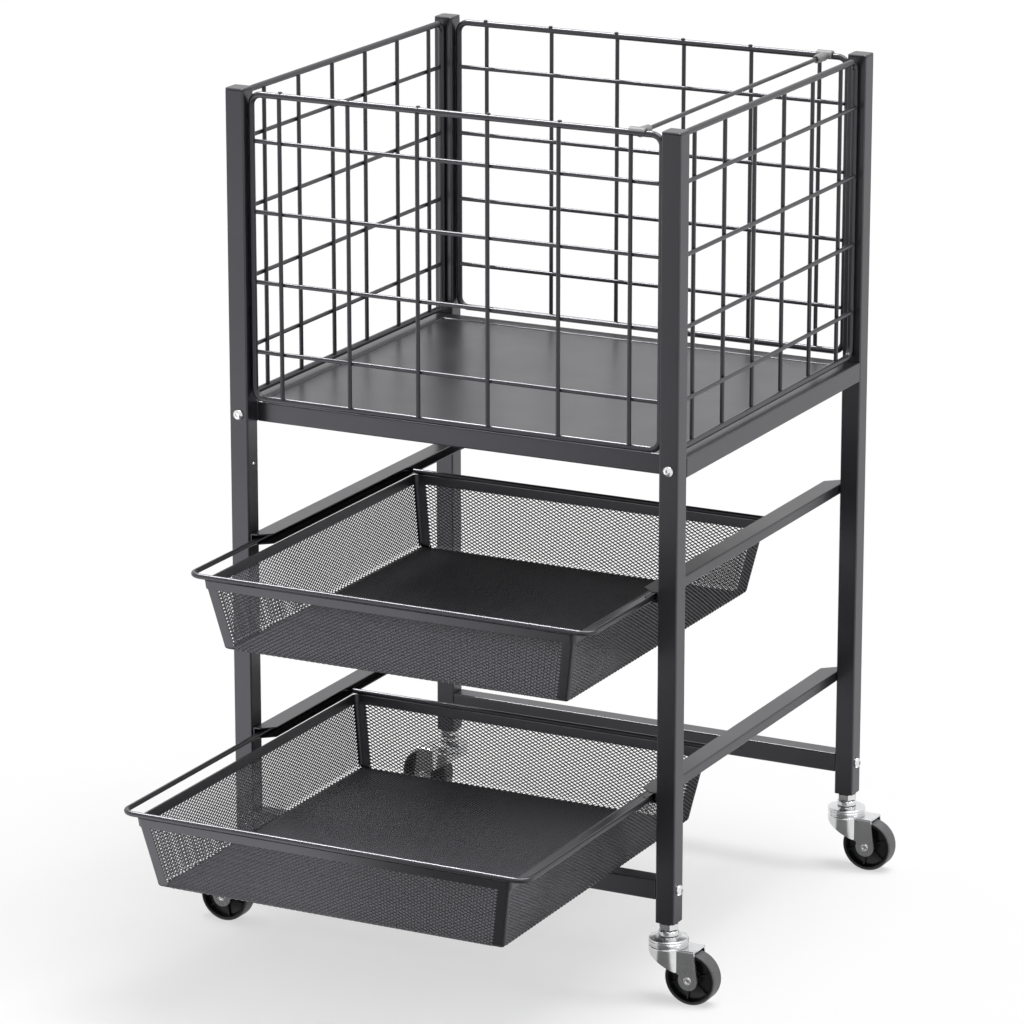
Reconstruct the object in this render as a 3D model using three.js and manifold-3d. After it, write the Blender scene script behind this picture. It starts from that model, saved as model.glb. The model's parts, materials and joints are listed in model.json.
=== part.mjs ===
// A mobile file cart: a square-tube frame on four swivel casters, an open file box of
// wire grids with a sliding hanging rod on top, and two baskets that draw out below.
// Millimetres, +Z up, the front faces -Y, the origin is on the floor under the middle.
import * as THREE from 'three';
import { mergeVertices } from 'three/addons/utils/BufferGeometryUtils.js';
import Module from 'manifold-3d';

const wasm = await Module();
wasm.setup();

// Clearances
const SEAT = 0.3;               // between pieces that touch
const PIN_GAP = 0.3;            // round a pin in its hole
const SLIDE_GAP = 0.3;          // between a wire and what it slides on
const OVERCUT = 1;              // how far a cut runs past the metal

// Square-tube frame
const WIDTH = 460;              // over the posts, left to right
const DEPTH = 428;              // over the posts, front to back
const POST_HEIGHT = 736;
const TUBE = 19;
const TUBE_WALL = 1.2;
const TUBE_BEND = 1.6;          // outer corner radius
const FOOT_PLATE = 3;           // closes the bottom of a post
const END_PLATE = 2;            // closes the end of a bolted rail
const CAP_FLANGE = 1.6;
const CAP_PLUG = 9;             // how far a cap reaches into its post
const TRAY_RISE = 419;          // underside of the tray rails, above the posts' feet
const BOTTOM_RAIL_RISE = 22;    // underside of the bottom rails, above the posts' feet

// Bolts
const BOLT_SHANK = 6;
const BOLT_HEAD = 10.5;
const BOLT_DOME = 3.5;
const BOLT_REACH = 10;          // past the post, into the rail

// Shelf under the files
const SHELF_SHEET = 1;
const SHELF_LIP = 12;           // height of the folded edge
const SHELF_DROP = 0.5;         // below the top of the rails

// Wire grids of the file box
const FRAME_WIRE = 6;
const FRAME_BEND = 10;          // centre line radius at the corners
const GRID_WIRE = 4;
const WELD = 0.6;               // how deep crossing wires sink into each other
const GRID_LIFT = 3;            // above the tray rails
const GRID_DROP = 2.5;          // below the tops of the posts
const UPRIGHT_WIRES = 6;
const CROSS_WIRES = 4;
const UPRIGHT_MARGIN = 30;      // outermost upright to the frame wire
const CROSS_MARGIN = 44;        // outermost cross wire to the frame wire

// Hanging rod and its clips
const ROD = 4;
const ROD_INSET = 36.5;         // from the middle of the right grid
const CLIP_LENGTH = 16;
const CLIP_WALL = 2.2;
const CLIP_LIP = 0.5;           // how far the clip reaches below the wire's middle
const CLIP_ARM = 22;            // from the wire's middle to the arm's end
const CLIP_ARM_ROOT = 9.4;
const CLIP_ARM_TIP = 7.4;
const ROD_ENTRY = 14;           // depth of the rod in the arm

// Runners for the baskets
const RUNNER_SHEET = 1;
const RUNNER_HEIGHT = 10;
const RUNNER_FLANGE = 19;
const RUNNER_BEND = 1.6;        // outer corner radius
const RUNNER_SHORT = 2;         // set back from the posts' outer faces at each end
const RUNNER_NOSE = 11;         // length of the oblique cut at a flange's corner
const RUNNER_LAND = 7;          // flange width left at the tip of that cut
const BASKET_PITCH = 190;       // lower runners to upper runners

// Baskets
const RIM_WIRE = 5;
const RIM_BEND = 12;
const RIM_SIDE_GAP = 3;         // rim wire to the runner's web
const TUB_SIDE_GAP = 2.2;       // tub to the runner's flanges
const TUB_SET_BACK = 1.5;       // tub behind the outside of the rim's end wires
const TUB_HEIGHT = 68;
const TUB_TAPER = 13;           // each wall leans in by this much
const TUB_SHEET = 1.2;
const TUB_CORNER = 3;
const TUB_BASE_BEND = 4;
const BAND_HEIGHT = 8.5;        // plain band round the top of the tub
const BAND_LEAN = 1;            // the band's foot behind its top edge
const WALL_SET_BACK = 1;        // the line of the wall behind the band's top edge
const CORNER_STRIP = 9;         // plain metal beside each corner
const OPENINGS = 5;             // openings in each wall, and each way across the floor
const OPENING_SHARE = 0.7;      // how much of each pitch is open
const BASKET_CLEAR = 6.3;       // lower tub above the bottom rails
const UPPER_DRAWN = 132;        // how far each basket is drawn out
const LOWER_DRAWN = 257.5;

// Casters
const WHEEL_DIAMETER = 50;
const WHEEL_WIDTH = 17;
const WHEEL_ROUND = 2;          // bevel at the edge of the tread
const WHEEL_RIM = 4;            // thickness of the wheel's rim
const WHEEL_WEB = 5;
const WHEEL_DRAFT = 1;          // slope of the rim's inside and of the hub
const WHEEL_RIBS = 6;
const RIB_SHEET = 1.2;
const RIB_SET_BACK = 3.5;       // ribs behind the face of the rim
const HUB_DIAMETER = 14;
const HUB_PROUD = 1.5;          // hub past the tread at each side
const HUB_GAP = 0.5;            // hub to the fork's legs
const AXLE_DIAMETER = 5;
const RIVET_HEAD = 7.2;
const RIVET_PROUD = 1;
const RIVET_HOLE = 3.4;
const RIVET_DEPTH = 3;          // depth of the hole in the rivet's end
const TRAIL = 25;               // axle behind the swivel
const FORK_SHEET = 2;
const FORK_CLEAR = 1.5;         // wheel to the fork's top plate
const FORK_REAR = 6;            // top plate's end past the axle
const FORK_LIP = 3.5;           // height of the fork's wall at its front
const LEG_END = 9.5;            // radius of a leg's end
const LEG_NECK = 155;           // degrees round the leg's end where the slanted edge meets it
const RACE_DIAMETER = 37;
const RACE_HEIGHT = 1.5;
const RACE_STEP = 0.8;          // raceway inside the fork's round front
const CUP_HEIGHT = 6.7;
const CUP_SHOULDER = 1.4;       // drop of the cup's sloping shoulder
const CUP_CROWN = 25;           // diameter of the cup's flat top
const COLLAR_DIAMETER = 19;
const COLLAR_HEIGHT = 6;
const HEX_FLATS = 17;
const HEX_HEIGHT = 6.7;
const STEM_DIAMETER = 10;
const STEM_REACH = 20;          // above the post's foot
const STEM_HEAD = 15;           // riveted end under the fork
const STEM_HEAD_HEIGHT = 2;
const STEM_HEAD_SLOPE = 1;      // bevel round the riveted end

// Facets
const WIRE_SIDES = 8;
const GRID_SIDES = 6;
const PIN_SIDES = 8;
const HOLE_SIDES = 8;
const RACE_SIDES = 12;
const WHEEL_SIDES = 16;
const BEND_STEPS = 2;
const TUBE_STEPS = 1;           // at the corners of a tube
const DOME_STEPS = 2;
const ARC_STEPS = 5;

// Finishes
const POWDER_COAT = { color: '#47464b', roughness: 0.5, metalness: 0.3 };
const BRIGHT_STEEL = { color: '#c9cacc', roughness: 0.25, metalness: 1 };
const ZINC = { color: '#b9bbbe', roughness: 0.32, metalness: 1 };
const BLACK_PLASTIC = { color: '#1b1b1d', roughness: 0.45, metalness: 0 };
const GREY_PLASTIC = { color: '#77777a', roughness: 0.55, metalness: 0 };

// Heights and planes that several pieces share
const plateUnder = WHEEL_DIAMETER + FORK_CLEAR;
const plateTop = plateUnder + FORK_SHEET;
const raceTop = plateTop + RACE_HEIGHT;
const cupTop = raceTop + PIN_GAP + CUP_HEIGHT;
const hexTop = cupTop + COLLAR_HEIGHT + HEX_HEIGHT;
const footZ = hexTop + SEAT;
const postTop = footZ + POST_HEIGHT;
const trayZ = footZ + TRAY_RISE;
const bottomRailZ = footZ + BOTTOM_RAIL_RISE;
const postX = (WIDTH - TUBE) / 2;
const postY = (DEPTH - TUBE) / 2;
const innerX = WIDTH / 2 - TUBE;
const innerY = DEPTH / 2 - TUBE;
const gridBottom = trayZ + TUBE + GRID_LIFT + FRAME_WIRE / 2;
const gridTop = postTop - GRID_DROP - FRAME_WIRE / 2;
const rimRise = RUNNER_SHEET + SLIDE_GAP + RIM_WIRE / 2;
const tubDrop = RIM_WIRE / 2 + SEAT + TUB_HEIGHT;
const lowerRunnerZ = bottomRailZ + TUBE + BASKET_CLEAR + tubDrop - rimRise;
const upperRunnerZ = lowerRunnerZ + BASKET_PITCH;
const runnerX = innerX - SEAT;
const boltZ = { tray: trayZ + TUBE / 2, bottom: bottomRailZ + TUBE / 2 };

// A closed solid from a geometry: shared corners are merged and empty triangles dropped.
function solid(geometry) {
  const plain = geometry.clone();
  plain.deleteAttribute('normal');
  plain.deleteAttribute('uv');
  const merged = mergeVertices(plain, 1e-4);
  const index = merged.index.array;
  const kept = [];
  for (let i = 0; i < index.length; i += 3) {
    const [a, b, c] = index.slice(i, i + 3);
    if (a !== b && b !== c && c !== a) kept.push(a, b, c);
  }
  return new wasm.Manifold(new wasm.Mesh({
    numProp: 3,
    vertProperties: new Float32Array(merged.attributes.position.array),
    triVerts: new Uint32Array(kept),
  }));
}

// The geometry of a closed solid.
function shapeOf(body) {
  const mesh = body.getMesh();
  const geometry = new THREE.BufferGeometry();
  geometry.setAttribute('position', new THREE.BufferAttribute(mesh.vertProperties, 3));
  geometry.setIndex(new THREE.BufferAttribute(mesh.triVerts, 1));
  geometry.computeVertexNormals();
  return geometry;
}

// Rings of points joined into one surface: a closed loop of rings, or capped at both ends.
function ringSurface(rings, closed) {
  const count = rings[0].length;
  const positions = rings.flat().flatMap((p) => [p.x, p.y, p.z]);
  const index = [];
  const spans = closed ? rings.length : rings.length - 1;
  for (let i = 0; i < spans; i += 1) {
    const here = i * count;
    const next = ((i + 1) % rings.length) * count;
    for (let j = 0; j < count; j += 1) {
      const k = (j + 1) % count;
      index.push(here + j, here + k, next + k, here + j, next + k, next + j);
    }
  }
  const last = (rings.length - 1) * count;
  for (let j = 1; j < count - 1 && !closed; j += 1) {
    index.push(0, j + 1, j, last, last + j, last + j + 1);
  }
  const geometry = new THREE.BufferGeometry();
  geometry.setAttribute('position', new THREE.Float32BufferAttribute(positions, 3));
  geometry.setIndex(index);
  geometry.computeVertexNormals();
  return geometry;
}

// The corner points of a rectangle with rounded corners, each with its outward direction.
function roundedCorners(halfX, halfY, radius, steps) {
  const points = [];
  for (let corner = 0; corner < 4; corner += 1) {
    const signX = corner === 0 || corner === 3 ? 1 : -1;
    const signY = corner < 2 ? 1 : -1;
    for (let step = 0; step <= steps; step += 1) {
      const angle = ((corner + step / steps) * Math.PI) / 2;
      const out = new THREE.Vector2(Math.cos(angle), Math.sin(angle));
      const centre = new THREE.Vector2(signX * (halfX - radius), signY * (halfY - radius));
      points.push({ at: centre.addScaledVector(out, radius), out });
    }
  }
  return points;
}

// A wire bent into a closed rectangle, flat in the XY plane, measured at its centre line.
function wireLoop(halfX, halfY, bend, wire) {
  const rings = roundedCorners(halfX, halfY, bend, BEND_STEPS).map(({ at, out }) => {
    const ring = [];
    for (let side = 0; side < WIRE_SIDES; side += 1) {
      const angle = (2 * Math.PI * (side + 0.5)) / WIRE_SIDES;
      const reach = (Math.cos(angle) * wire) / 2;
      ring.push(new THREE.Vector3(
        at.x + out.x * reach,
        at.y + out.y * reach,
        (Math.sin(angle) * wire) / 2,
      ));
    }
    return ring.reverse();
  });
  return ringSurface(rings, true);
}

// A straight round bar with flat ends, along one axis and centred on a point.
function bar(axis, diameter, length, sides, centre) {
  const geometry = new THREE.CylinderGeometry(diameter / 2, diameter / 2, length, sides);
  geometry.rotateY(Math.PI / sides);
  if (axis === 'x') geometry.rotateZ(-Math.PI / 2);
  if (axis === 'z') geometry.rotateX(Math.PI / 2);
  geometry.translate(...centre);
  return solid(geometry);
}

// A round hole for a pin: a bar whose flats, not its edges, are on the hole's diameter.
function hole(axis, diameter, length, centre) {
  return bar(axis, diameter / Math.cos(Math.PI / HOLE_SIDES), length, HOLE_SIDES, centre);
}

// A block between two corners.
function block(low, high) {
  const size = high.map((value, i) => value - low[i]);
  const geometry = new THREE.BoxGeometry(...size);
  geometry.translate(...low.map((value, i) => value + size[i] / 2));
  return solid(geometry);
}

// A profile of radius and height points, turned about Z.
function turned(profile, sides) {
  const points = profile.map(([radius, height]) => new THREE.Vector2(radius, height));
  const geometry = new THREE.LatheGeometry(points, sides);
  geometry.rotateY(Math.PI / sides);
  geometry.rotateX(Math.PI / 2);
  return solid(geometry);
}

// An outline extruded upwards between two heights.
function prism(outline, low, high, curveSegments = BEND_STEPS) {
  const geometry = new THREE.ExtrudeGeometry(outline, {
    depth: high - low,
    bevelEnabled: false,
    curveSegments,
  });
  geometry.translate(0, 0, low);
  return solid(geometry);
}

// A square outline with rounded corners.
function squareOutline(side, radius, steps) {
  return new THREE.Shape(roundedCorners(side / 2, side / 2, radius, steps).map(({ at }) => at));
}

// The section of the square tube, outside and inside, and the hole for a bolt.
const tubeOutside = squareOutline(TUBE, TUBE_BEND, TUBE_STEPS);
const tubeInside = squareOutline(TUBE - 2 * TUBE_WALL, TUBE_BEND - TUBE_WALL, TUBE_STEPS);
const boltHole = BOLT_SHANK + 2 * PIN_GAP;

// A post: closed at the foot round the caster's stem, with holes for its two bolts.
function postShape() {
  const top = postTop - CAP_FLANGE - SEAT;
  const stemHole = STEM_DIAMETER + 2 * PIN_GAP;
  const post = prism(tubeOutside, footZ, top)
    .subtract(prism(tubeInside, footZ + FOOT_PLATE, top + OVERCUT))
    .subtract(hole('z', stemHole, 4 * FOOT_PLATE, [0, 0, footZ]))
    .subtract(hole('y', boltHole, 2 * TUBE, [0, 0, boltZ.tray]))
    .subtract(hole('x', boltHole, 2 * TUBE, [0, 0, boltZ.bottom]));
  return shapeOf(post);
}

// A cap: a flat flange on the post's top and a plug inside the tube.
function capShape() {
  const plug = squareOutline(TUBE - 2 * TUBE_WALL - 2 * SEAT, TUBE_BEND - TUBE_WALL, TUBE_STEPS);
  const flangeUnder = postTop - CAP_FLANGE;
  const cap = prism(tubeOutside, flangeUnder, postTop)
    .add(prism(plug, flangeUnder - CAP_PLUG, flangeUnder + CAP_FLANGE / 2));
  return shapeOf(cap);
}

// A rail of a given length, standing on Z and centred, open or with drilled end plates.
function railShape(length, plates) {
  const half = length / 2;
  const inner = plates ? half - END_PLATE : half + OVERCUT;
  const rail = prism(tubeOutside, -half, half).subtract(prism(tubeInside, -inner, inner));
  return shapeOf(plates ? rail.subtract(hole('z', boltHole, length + 2 * OVERCUT, [0, 0, 0])) : rail);
}

// A bolt with a domed head. Its seat is at the origin and its shank points down.
function boltShape() {
  const end = -TUBE - SEAT - BOLT_REACH;
  const profile = [[0, end], [BOLT_SHANK / 2, end], [BOLT_SHANK / 2, 0]];
  for (let step = 0; step <= DOME_STEPS; step += 1) {
    const angle = (step / DOME_STEPS) * (Math.PI / 2);
    profile.push([(BOLT_HEAD / 2) * Math.cos(angle), BOLT_DOME * Math.sin(angle)]);
  }
  profile[profile.length - 1][0] = 0;
  return shapeOf(turned(profile, HOLE_SIDES));
}

// The shelf: a sheet with its four edges folded down.
function shelfShape() {
  const x = innerX - SEAT;
  const y = innerY - TUBE - 2 * SEAT;
  const top = trayZ + TUBE - SHELF_DROP;
  const shelf = block([-x, -y, top - SHELF_LIP], [x, y, top]).subtract(block(
    [-x + SHELF_SHEET, -y + SHELF_SHEET, top - SHELF_LIP - OVERCUT],
    [x - SHELF_SHEET, y - SHELF_SHEET, top - SHELF_SHEET],
  ));
  return shapeOf(shelf);
}

// A wire grid facing -Y, centred on X: a bent frame wire with upright and cross wires welded
// into it. One set of wires lies just outside the middle plane and the other just inside.
function gridShape(halfWidth, uprightsOutside) {
  const halfHeight = (gridTop - gridBottom) / 2;
  const middle = (gridTop + gridBottom) / 2;
  const lay = ((GRID_WIRE - WELD) / 2) * (uprightsOutside ? -1 : 1);
  const frame = wireLoop(halfWidth, halfHeight, FRAME_BEND, FRAME_WIRE);
  frame.rotateX(Math.PI / 2);
  frame.translate(0, 0, middle);
  let grid = solid(frame);
  const uprightPitch = (2 * (halfWidth - UPRIGHT_MARGIN)) / (UPRIGHT_WIRES - 1);
  const uprightLength = 2 * halfHeight - FRAME_WIRE + 4 * WELD;
  for (let i = 0; i < UPRIGHT_WIRES; i += 1) {
    const x = uprightPitch * (i - (UPRIGHT_WIRES - 1) / 2);
    const upright = bar('z', GRID_WIRE, uprightLength, GRID_SIDES, [0, 0, 0]);
    grid = grid.add(upright.rotate([0, 0, 180 / GRID_SIDES]).translate([x, lay, middle]));
  }
  const crossPitch = (2 * (halfHeight - CROSS_MARGIN)) / (CROSS_WIRES - 1);
  const crossLength = 2 * halfWidth - FRAME_WIRE + 4 * WELD;
  for (let i = 0; i < CROSS_WIRES; i += 1) {
    const z = middle + crossPitch * (i - (CROSS_WIRES - 1) / 2);
    grid = grid.add(bar('x', GRID_WIRE, crossLength, GRID_SIDES, [0, -lay, z]));
  }
  return shapeOf(grid);
}

// A clip on the front grid's top wire, centred on X: a saddle over the wire and an arm that
// points inwards with a socket for the rod's end.
function clipShape() {
  const bore = FRAME_WIRE + 2 * SLIDE_GAP;
  const outside = bore + 2 * CLIP_WALL;
  const arm = turned([
    [0, 0],
    [CLIP_ARM_ROOT / 2, 0],
    [CLIP_ARM_TIP / 2, CLIP_ARM],
    [(ROD + 2 * SEAT) / 2, CLIP_ARM],
    [(ROD + 2 * SEAT) / 2, CLIP_ARM - ROD_ENTRY],
    [0, CLIP_ARM - ROD_ENTRY],
  ], PIN_SIDES).rotate([-90, 0, 0]);
  const below = block([-CLIP_LENGTH, -outside, -outside], [CLIP_LENGTH, bore / 2, -CLIP_LIP]);
  const clip = bar('x', outside, CLIP_LENGTH, RACE_SIDES, [0, 0, 0])
    .add(arm)
    .subtract(hole('x', bore, 2 * CLIP_LENGTH, [0, 0, 0]))
    .subtract(below);
  return shapeOf(clip);
}

// A runner on the right: a channel open to the left, its web on X = 0 and its foot on Z = 0,
// with the corners of its flanges cut obliquely at both ends.
function runnerShape() {
  const half = DEPTH / 2 - RUNNER_SHORT;
  const outline = new THREE.Shape();
  outline.moveTo(-RUNNER_FLANGE, 0);
  outline.absarc(-RUNNER_BEND, RUNNER_BEND, RUNNER_BEND, -Math.PI / 2, 0, false);
  outline.absarc(-RUNNER_BEND, RUNNER_HEIGHT - RUNNER_BEND, RUNNER_BEND, 0, Math.PI / 2, false);
  outline.lineTo(-RUNNER_FLANGE, RUNNER_HEIGHT);
  outline.lineTo(-RUNNER_FLANGE, RUNNER_HEIGHT - RUNNER_SHEET);
  outline.lineTo(-RUNNER_SHEET, RUNNER_HEIGHT - RUNNER_SHEET);
  outline.lineTo(-RUNNER_SHEET, RUNNER_SHEET);
  outline.lineTo(-RUNNER_FLANGE, RUNNER_SHEET);
  let runner = prism(outline, -half, half).rotate([90, 0, 0]);
  for (const end of [-1, 1]) {
    const corner = new THREE.Shape();
    corner.moveTo(-RUNNER_LAND, end * (half + OVERCUT));
    corner.lineTo(-RUNNER_LAND, end * half);
    corner.lineTo(-RUNNER_FLANGE - OVERCUT, end * (half - RUNNER_NOSE));
    corner.lineTo(-RUNNER_FLANGE - OVERCUT, end * (half + OVERCUT));
    runner = runner.subtract(prism(corner, -OVERCUT, RUNNER_HEIGHT + OVERCUT));
  }
  return shapeOf(runner);
}

// The two ends of each opening in a row centred on zero.
function openingEnds(half) {
  const pitch = (2 * half) / OPENINGS;
  const open = pitch * OPENING_SHARE;
  const ends = [];
  for (let i = 0; i < OPENINGS; i += 1) {
    const middle = pitch * (i - (OPENINGS - 1) / 2);
    ends.push([middle - open / 2, middle + open / 2]);
  }
  return ends;
}

// A basket's tub: a tapered sheet tray with a plain band round its top, which is at Z = 0.
// Each wall has a row of openings and the floor a grid of them.
function tubShape(halfX, halfY) {
  const ring = (z, inset) => roundedCorners(halfX - inset, halfY - inset, TUB_CORNER, BEND_STEPS)
    .map(({ at }) => new THREE.Vector3(at.x, at.y, z));
  const lean = (z) => WALL_SET_BACK - (z * TUB_TAPER) / TUB_HEIGHT;
  const floor = -TUB_HEIGHT;
  const bend = floor + TUB_BASE_BEND;
  let tub = solid(ringSurface([
    ring(floor, lean(floor) + TUB_BASE_BEND),
    ring(bend, lean(bend)),
    ring(-BAND_HEIGHT, lean(-BAND_HEIGHT)),
    ring(-BAND_HEIGHT, BAND_LEAN),
    ring(0, 0),
    ring(0, WALL_SET_BACK + TUB_SHEET),
    ring(bend, lean(bend) + TUB_SHEET),
    ring(floor + TUB_SHEET, lean(floor) + TUB_BASE_BEND + TUB_SHEET),
  ], false));
  const plain = lean(floor) + TUB_BASE_BEND + CORNER_STRIP;
  const acrossX = openingEnds(halfX - plain);
  const acrossY = openingEnds(halfY - plain);
  const low = bend + TUB_BASE_BEND;
  const high = -BAND_HEIGHT - TUB_BASE_BEND;
  for (const [y1, y2] of acrossY) {
    tub = tub.subtract(block([-halfX, y1, low], [halfX, y2, high]));
  }
  for (const [x1, x2] of acrossX) {
    tub = tub.subtract(block([x1, -halfY, low], [x2, halfY, high]));
    for (const [y1, y2] of acrossY) {
      tub = tub.subtract(block([x1, y1, floor - OVERCUT], [x2, y2, bend]));
    }
  }
  return shapeOf(tub);
}

// The caster's stem: a pin into the post, a hexagon, a collar and the riveted end below.
function stemShape() {
  const headTop = plateUnder - SEAT;
  const pinTop = footZ + STEM_REACH;
  const pin = STEM_DIAMETER / 2;
  const stem = turned([
    [0, headTop - STEM_HEAD_HEIGHT],
    [STEM_HEAD / 2 - STEM_HEAD_SLOPE, headTop - STEM_HEAD_HEIGHT],
    [STEM_HEAD / 2, headTop],
    [pin, headTop],
    [pin, cupTop + SEAT],
    [COLLAR_DIAMETER / 2, cupTop + SEAT],
    [COLLAR_DIAMETER / 2, hexTop - HEX_HEIGHT],
    [pin, hexTop - HEX_HEIGHT],
    [pin, pinTop],
    [0, pinTop],
  ], PIN_SIDES);
  const hexMiddle = hexTop - HEX_HEIGHT / 2;
  const hexagon = bar('z', HEX_FLATS / Math.cos(Math.PI / 6), HEX_HEIGHT, 6, [0, 0, hexMiddle]);
  return shapeOf(stem.add(hexagon));
}

// The bearing cup over the raceway, round the stem, with a sloping shoulder.
function cupShape() {
  const under = raceTop + PIN_GAP;
  const bore = STEM_DIAMETER / 2 + PIN_GAP;
  const race = RACE_DIAMETER / 2;
  return shapeOf(turned([
    [bore, under],
    [race, under],
    [race, cupTop - CUP_SHOULDER],
    [CUP_CROWN / 2, cupTop],
    [bore, cupTop],
    [bore, under],
  ], RACE_SIDES));
}

// The outline of the fork seen from above: a round front running back into two straight sides.
function forkPlan(radius, halfWidth, rear) {
  const meet = Math.asin(halfWidth / radius);
  const outline = new THREE.Shape();
  outline.moveTo(rear, -halfWidth);
  outline.lineTo(rear, halfWidth);
  outline.absarc(0, 0, radius, meet, 2 * Math.PI - meet, false);
  return outline;
}

// The fork, swivelling on Z = 0 with its axle at X = TRAIL: a bent plate with a round front
// cut off by a slanted plane, two flat legs with round ends, and the raceway on top.
function forkShape() {
  const axleZ = WHEEL_DIAMETER / 2;
  const low = axleZ - LEG_END;
  const legInside = WHEEL_WIDTH / 2 + HUB_PROUD + HUB_GAP;
  const legOutside = legInside + FORK_SHEET;
  const race = RACE_DIAMETER / 2;
  const far = TRAIL + 2 * LEG_END;
  const outer = prism(forkPlan(race, legOutside, far), low, plateTop, ARC_STEPS);
  const inside = forkPlan(race - FORK_SHEET, legInside, far + OVERCUT);
  const inner = prism(inside, low - OVERCUT, plateUnder, ARC_STEPS);
  const side = new THREE.Shape();
  side.moveTo(TRAIL + FORK_REAR, plateTop + OVERCUT);
  side.absarc(TRAIL, axleZ, LEG_END, 0, THREE.MathUtils.degToRad(LEG_NECK - 360), true);
  side.lineTo(-race - OVERCUT, plateTop - FORK_LIP);
  side.lineTo(-race - OVERCUT, plateTop + OVERCUT);
  const profile = prism(side, -race - OVERCUT, race + OVERCUT, ARC_STEPS).rotate([90, 0, 0]);
  const raceway = bar('z', RACE_DIAMETER - 2 * RACE_STEP, 2 * RACE_HEIGHT, RACE_SIDES, [0, 0, plateTop]);
  const fork = outer
    .subtract(inner)
    .intersect(profile)
    .add(raceway)
    .subtract(hole('z', STEM_DIAMETER + 2 * PIN_GAP, 4 * FORK_SHEET, [0, 0, plateTop]))
    .subtract(hole('y', AXLE_DIAMETER + 2 * PIN_GAP, 2 * race, [TRAIL, 0, axleZ]));
  return shapeOf(fork);
}

// The axle, along Z here: a pin with a hollow rivet head outside each leg.
function axleShape() {
  const legOutside = WHEEL_WIDTH / 2 + HUB_PROUD + HUB_GAP + FORK_SHEET;
  const seat = legOutside + SEAT;
  const end = seat + RIVET_PROUD;
  const pin = AXLE_DIAMETER / 2;
  const half = [
    [pin, seat],
    [RIVET_HEAD / 2, seat],
    [RIVET_HEAD / 2 - RIVET_PROUD / 2, end],
    [RIVET_HOLE / 2, end],
    [RIVET_HOLE / 2, end - RIVET_DEPTH],
    [0, end - RIVET_DEPTH],
  ];
  const mirrored = half.map(([radius, height]) => [radius, -height]).reverse();
  return shapeOf(turned([...mirrored, ...half], HOLE_SIDES));
}

// The wheel, turned about Z here: a bevelled tread, dished sides with radial ribs, and a hub.
function wheelShape() {
  const radius = WHEEL_DIAMETER / 2 / Math.cos(Math.PI / WHEEL_SIDES);
  const half = WHEEL_WIDTH / 2;
  const bore = AXLE_DIAMETER / 2 + PIN_GAP;
  const rimInside = radius - WHEEL_RIM;
  const upper = [
    [radius, half - WHEEL_ROUND],
    [radius - WHEEL_ROUND, half],
    [rimInside, half],
    [rimInside - WHEEL_DRAFT, WHEEL_WEB / 2],
    [HUB_DIAMETER / 2 + WHEEL_DRAFT, WHEEL_WEB / 2],
    [HUB_DIAMETER / 2, half + HUB_PROUD],
    [bore, half + HUB_PROUD],
  ];
  const lower = upper.map(([r, height]) => [r, -height]).reverse();
  let wheel = turned([...lower, ...upper, lower[0]], WHEEL_SIDES);
  const ribHalf = half - RIB_SET_BACK;
  const ribStart = HUB_DIAMETER / 2 - WHEEL_DRAFT;
  const ribEnd = rimInside + WHEEL_DRAFT;
  for (let i = 0; i < WHEEL_RIBS; i += 1) {
    const rib = block([ribStart, -RIB_SHEET / 2, -ribHalf], [ribEnd, RIB_SHEET / 2, ribHalf]);
    wheel = wheel.add(rib.rotate([0, 0, (360 * i) / WHEEL_RIBS]));
  }
  return shapeOf(wheel);
}

// Adds a named piece with its own material.
function piece(parent, name, geometry, finish) {
  const mesh = new THREE.Mesh(geometry, new THREE.MeshStandardMaterial(finish));
  mesh.name = name;
  parent.add(mesh);
  return mesh;
}

const cart = new THREE.Group();
const corners = [
  { name: 'front_left', x: -1, y: -1 },
  { name: 'front_right', x: 1, y: -1 },
  { name: 'rear_left', x: -1, y: 1 },
  { name: 'rear_right', x: 1, y: 1 },
];

// Posts with their caps and bolts
const post = postShape();
const cap = capShape();
const bolt = boltShape();
for (const corner of corners) {
  const x = corner.x * postX;
  const y = corner.y * postY;
  piece(cart, `post_${corner.name}`, post, POWDER_COAT).position.set(x, y, 0);
  piece(cart, `post_cap_${corner.name}`, cap, POWDER_COAT).position.set(x, y, 0);
  const trayBolt = piece(cart, `tray_bolt_${corner.name}`, bolt, BRIGHT_STEEL);
  trayBolt.position.set(x, corner.y * (DEPTH / 2 + SEAT), boltZ.tray);
  trayBolt.rotation.x = (-corner.y * Math.PI) / 2;
  const railBolt = piece(cart, `rail_bolt_${corner.name}`, bolt, BRIGHT_STEEL);
  railBolt.position.set(corner.x * (WIDTH / 2 + SEAT), y, boltZ.bottom);
  railBolt.rotation.y = (corner.x * Math.PI) / 2;
}

// Tray rails, bottom rails and the shelf
const sideRail = railShape(2 * (innerY - SEAT), true);
const crossRail = railShape(2 * (innerX - SEAT), false);
const bottomRail = railShape(2 * (innerX - SEAT), true);
for (const [side, x] of [['left', -1], ['right', 1]]) {
  const rail = piece(cart, `tray_rail_${side}`, sideRail, POWDER_COAT);
  rail.position.set(x * postX, 0, boltZ.tray);
  rail.rotation.x = Math.PI / 2;
}
for (const [end, y] of [['front', -1], ['rear', 1]]) {
  const tray = piece(cart, `tray_rail_${end}`, crossRail, POWDER_COAT);
  tray.position.set(0, y * (innerY - SEAT - TUBE / 2), boltZ.tray);
  tray.rotation.y = Math.PI / 2;
  const bottom = piece(cart, `bottom_rail_${end}`, bottomRail, POWDER_COAT);
  bottom.position.set(0, y * postY, boltZ.bottom);
  bottom.rotation.y = Math.PI / 2;
}
piece(cart, 'shelf_plate', shelfShape(), POWDER_COAT);

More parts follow.
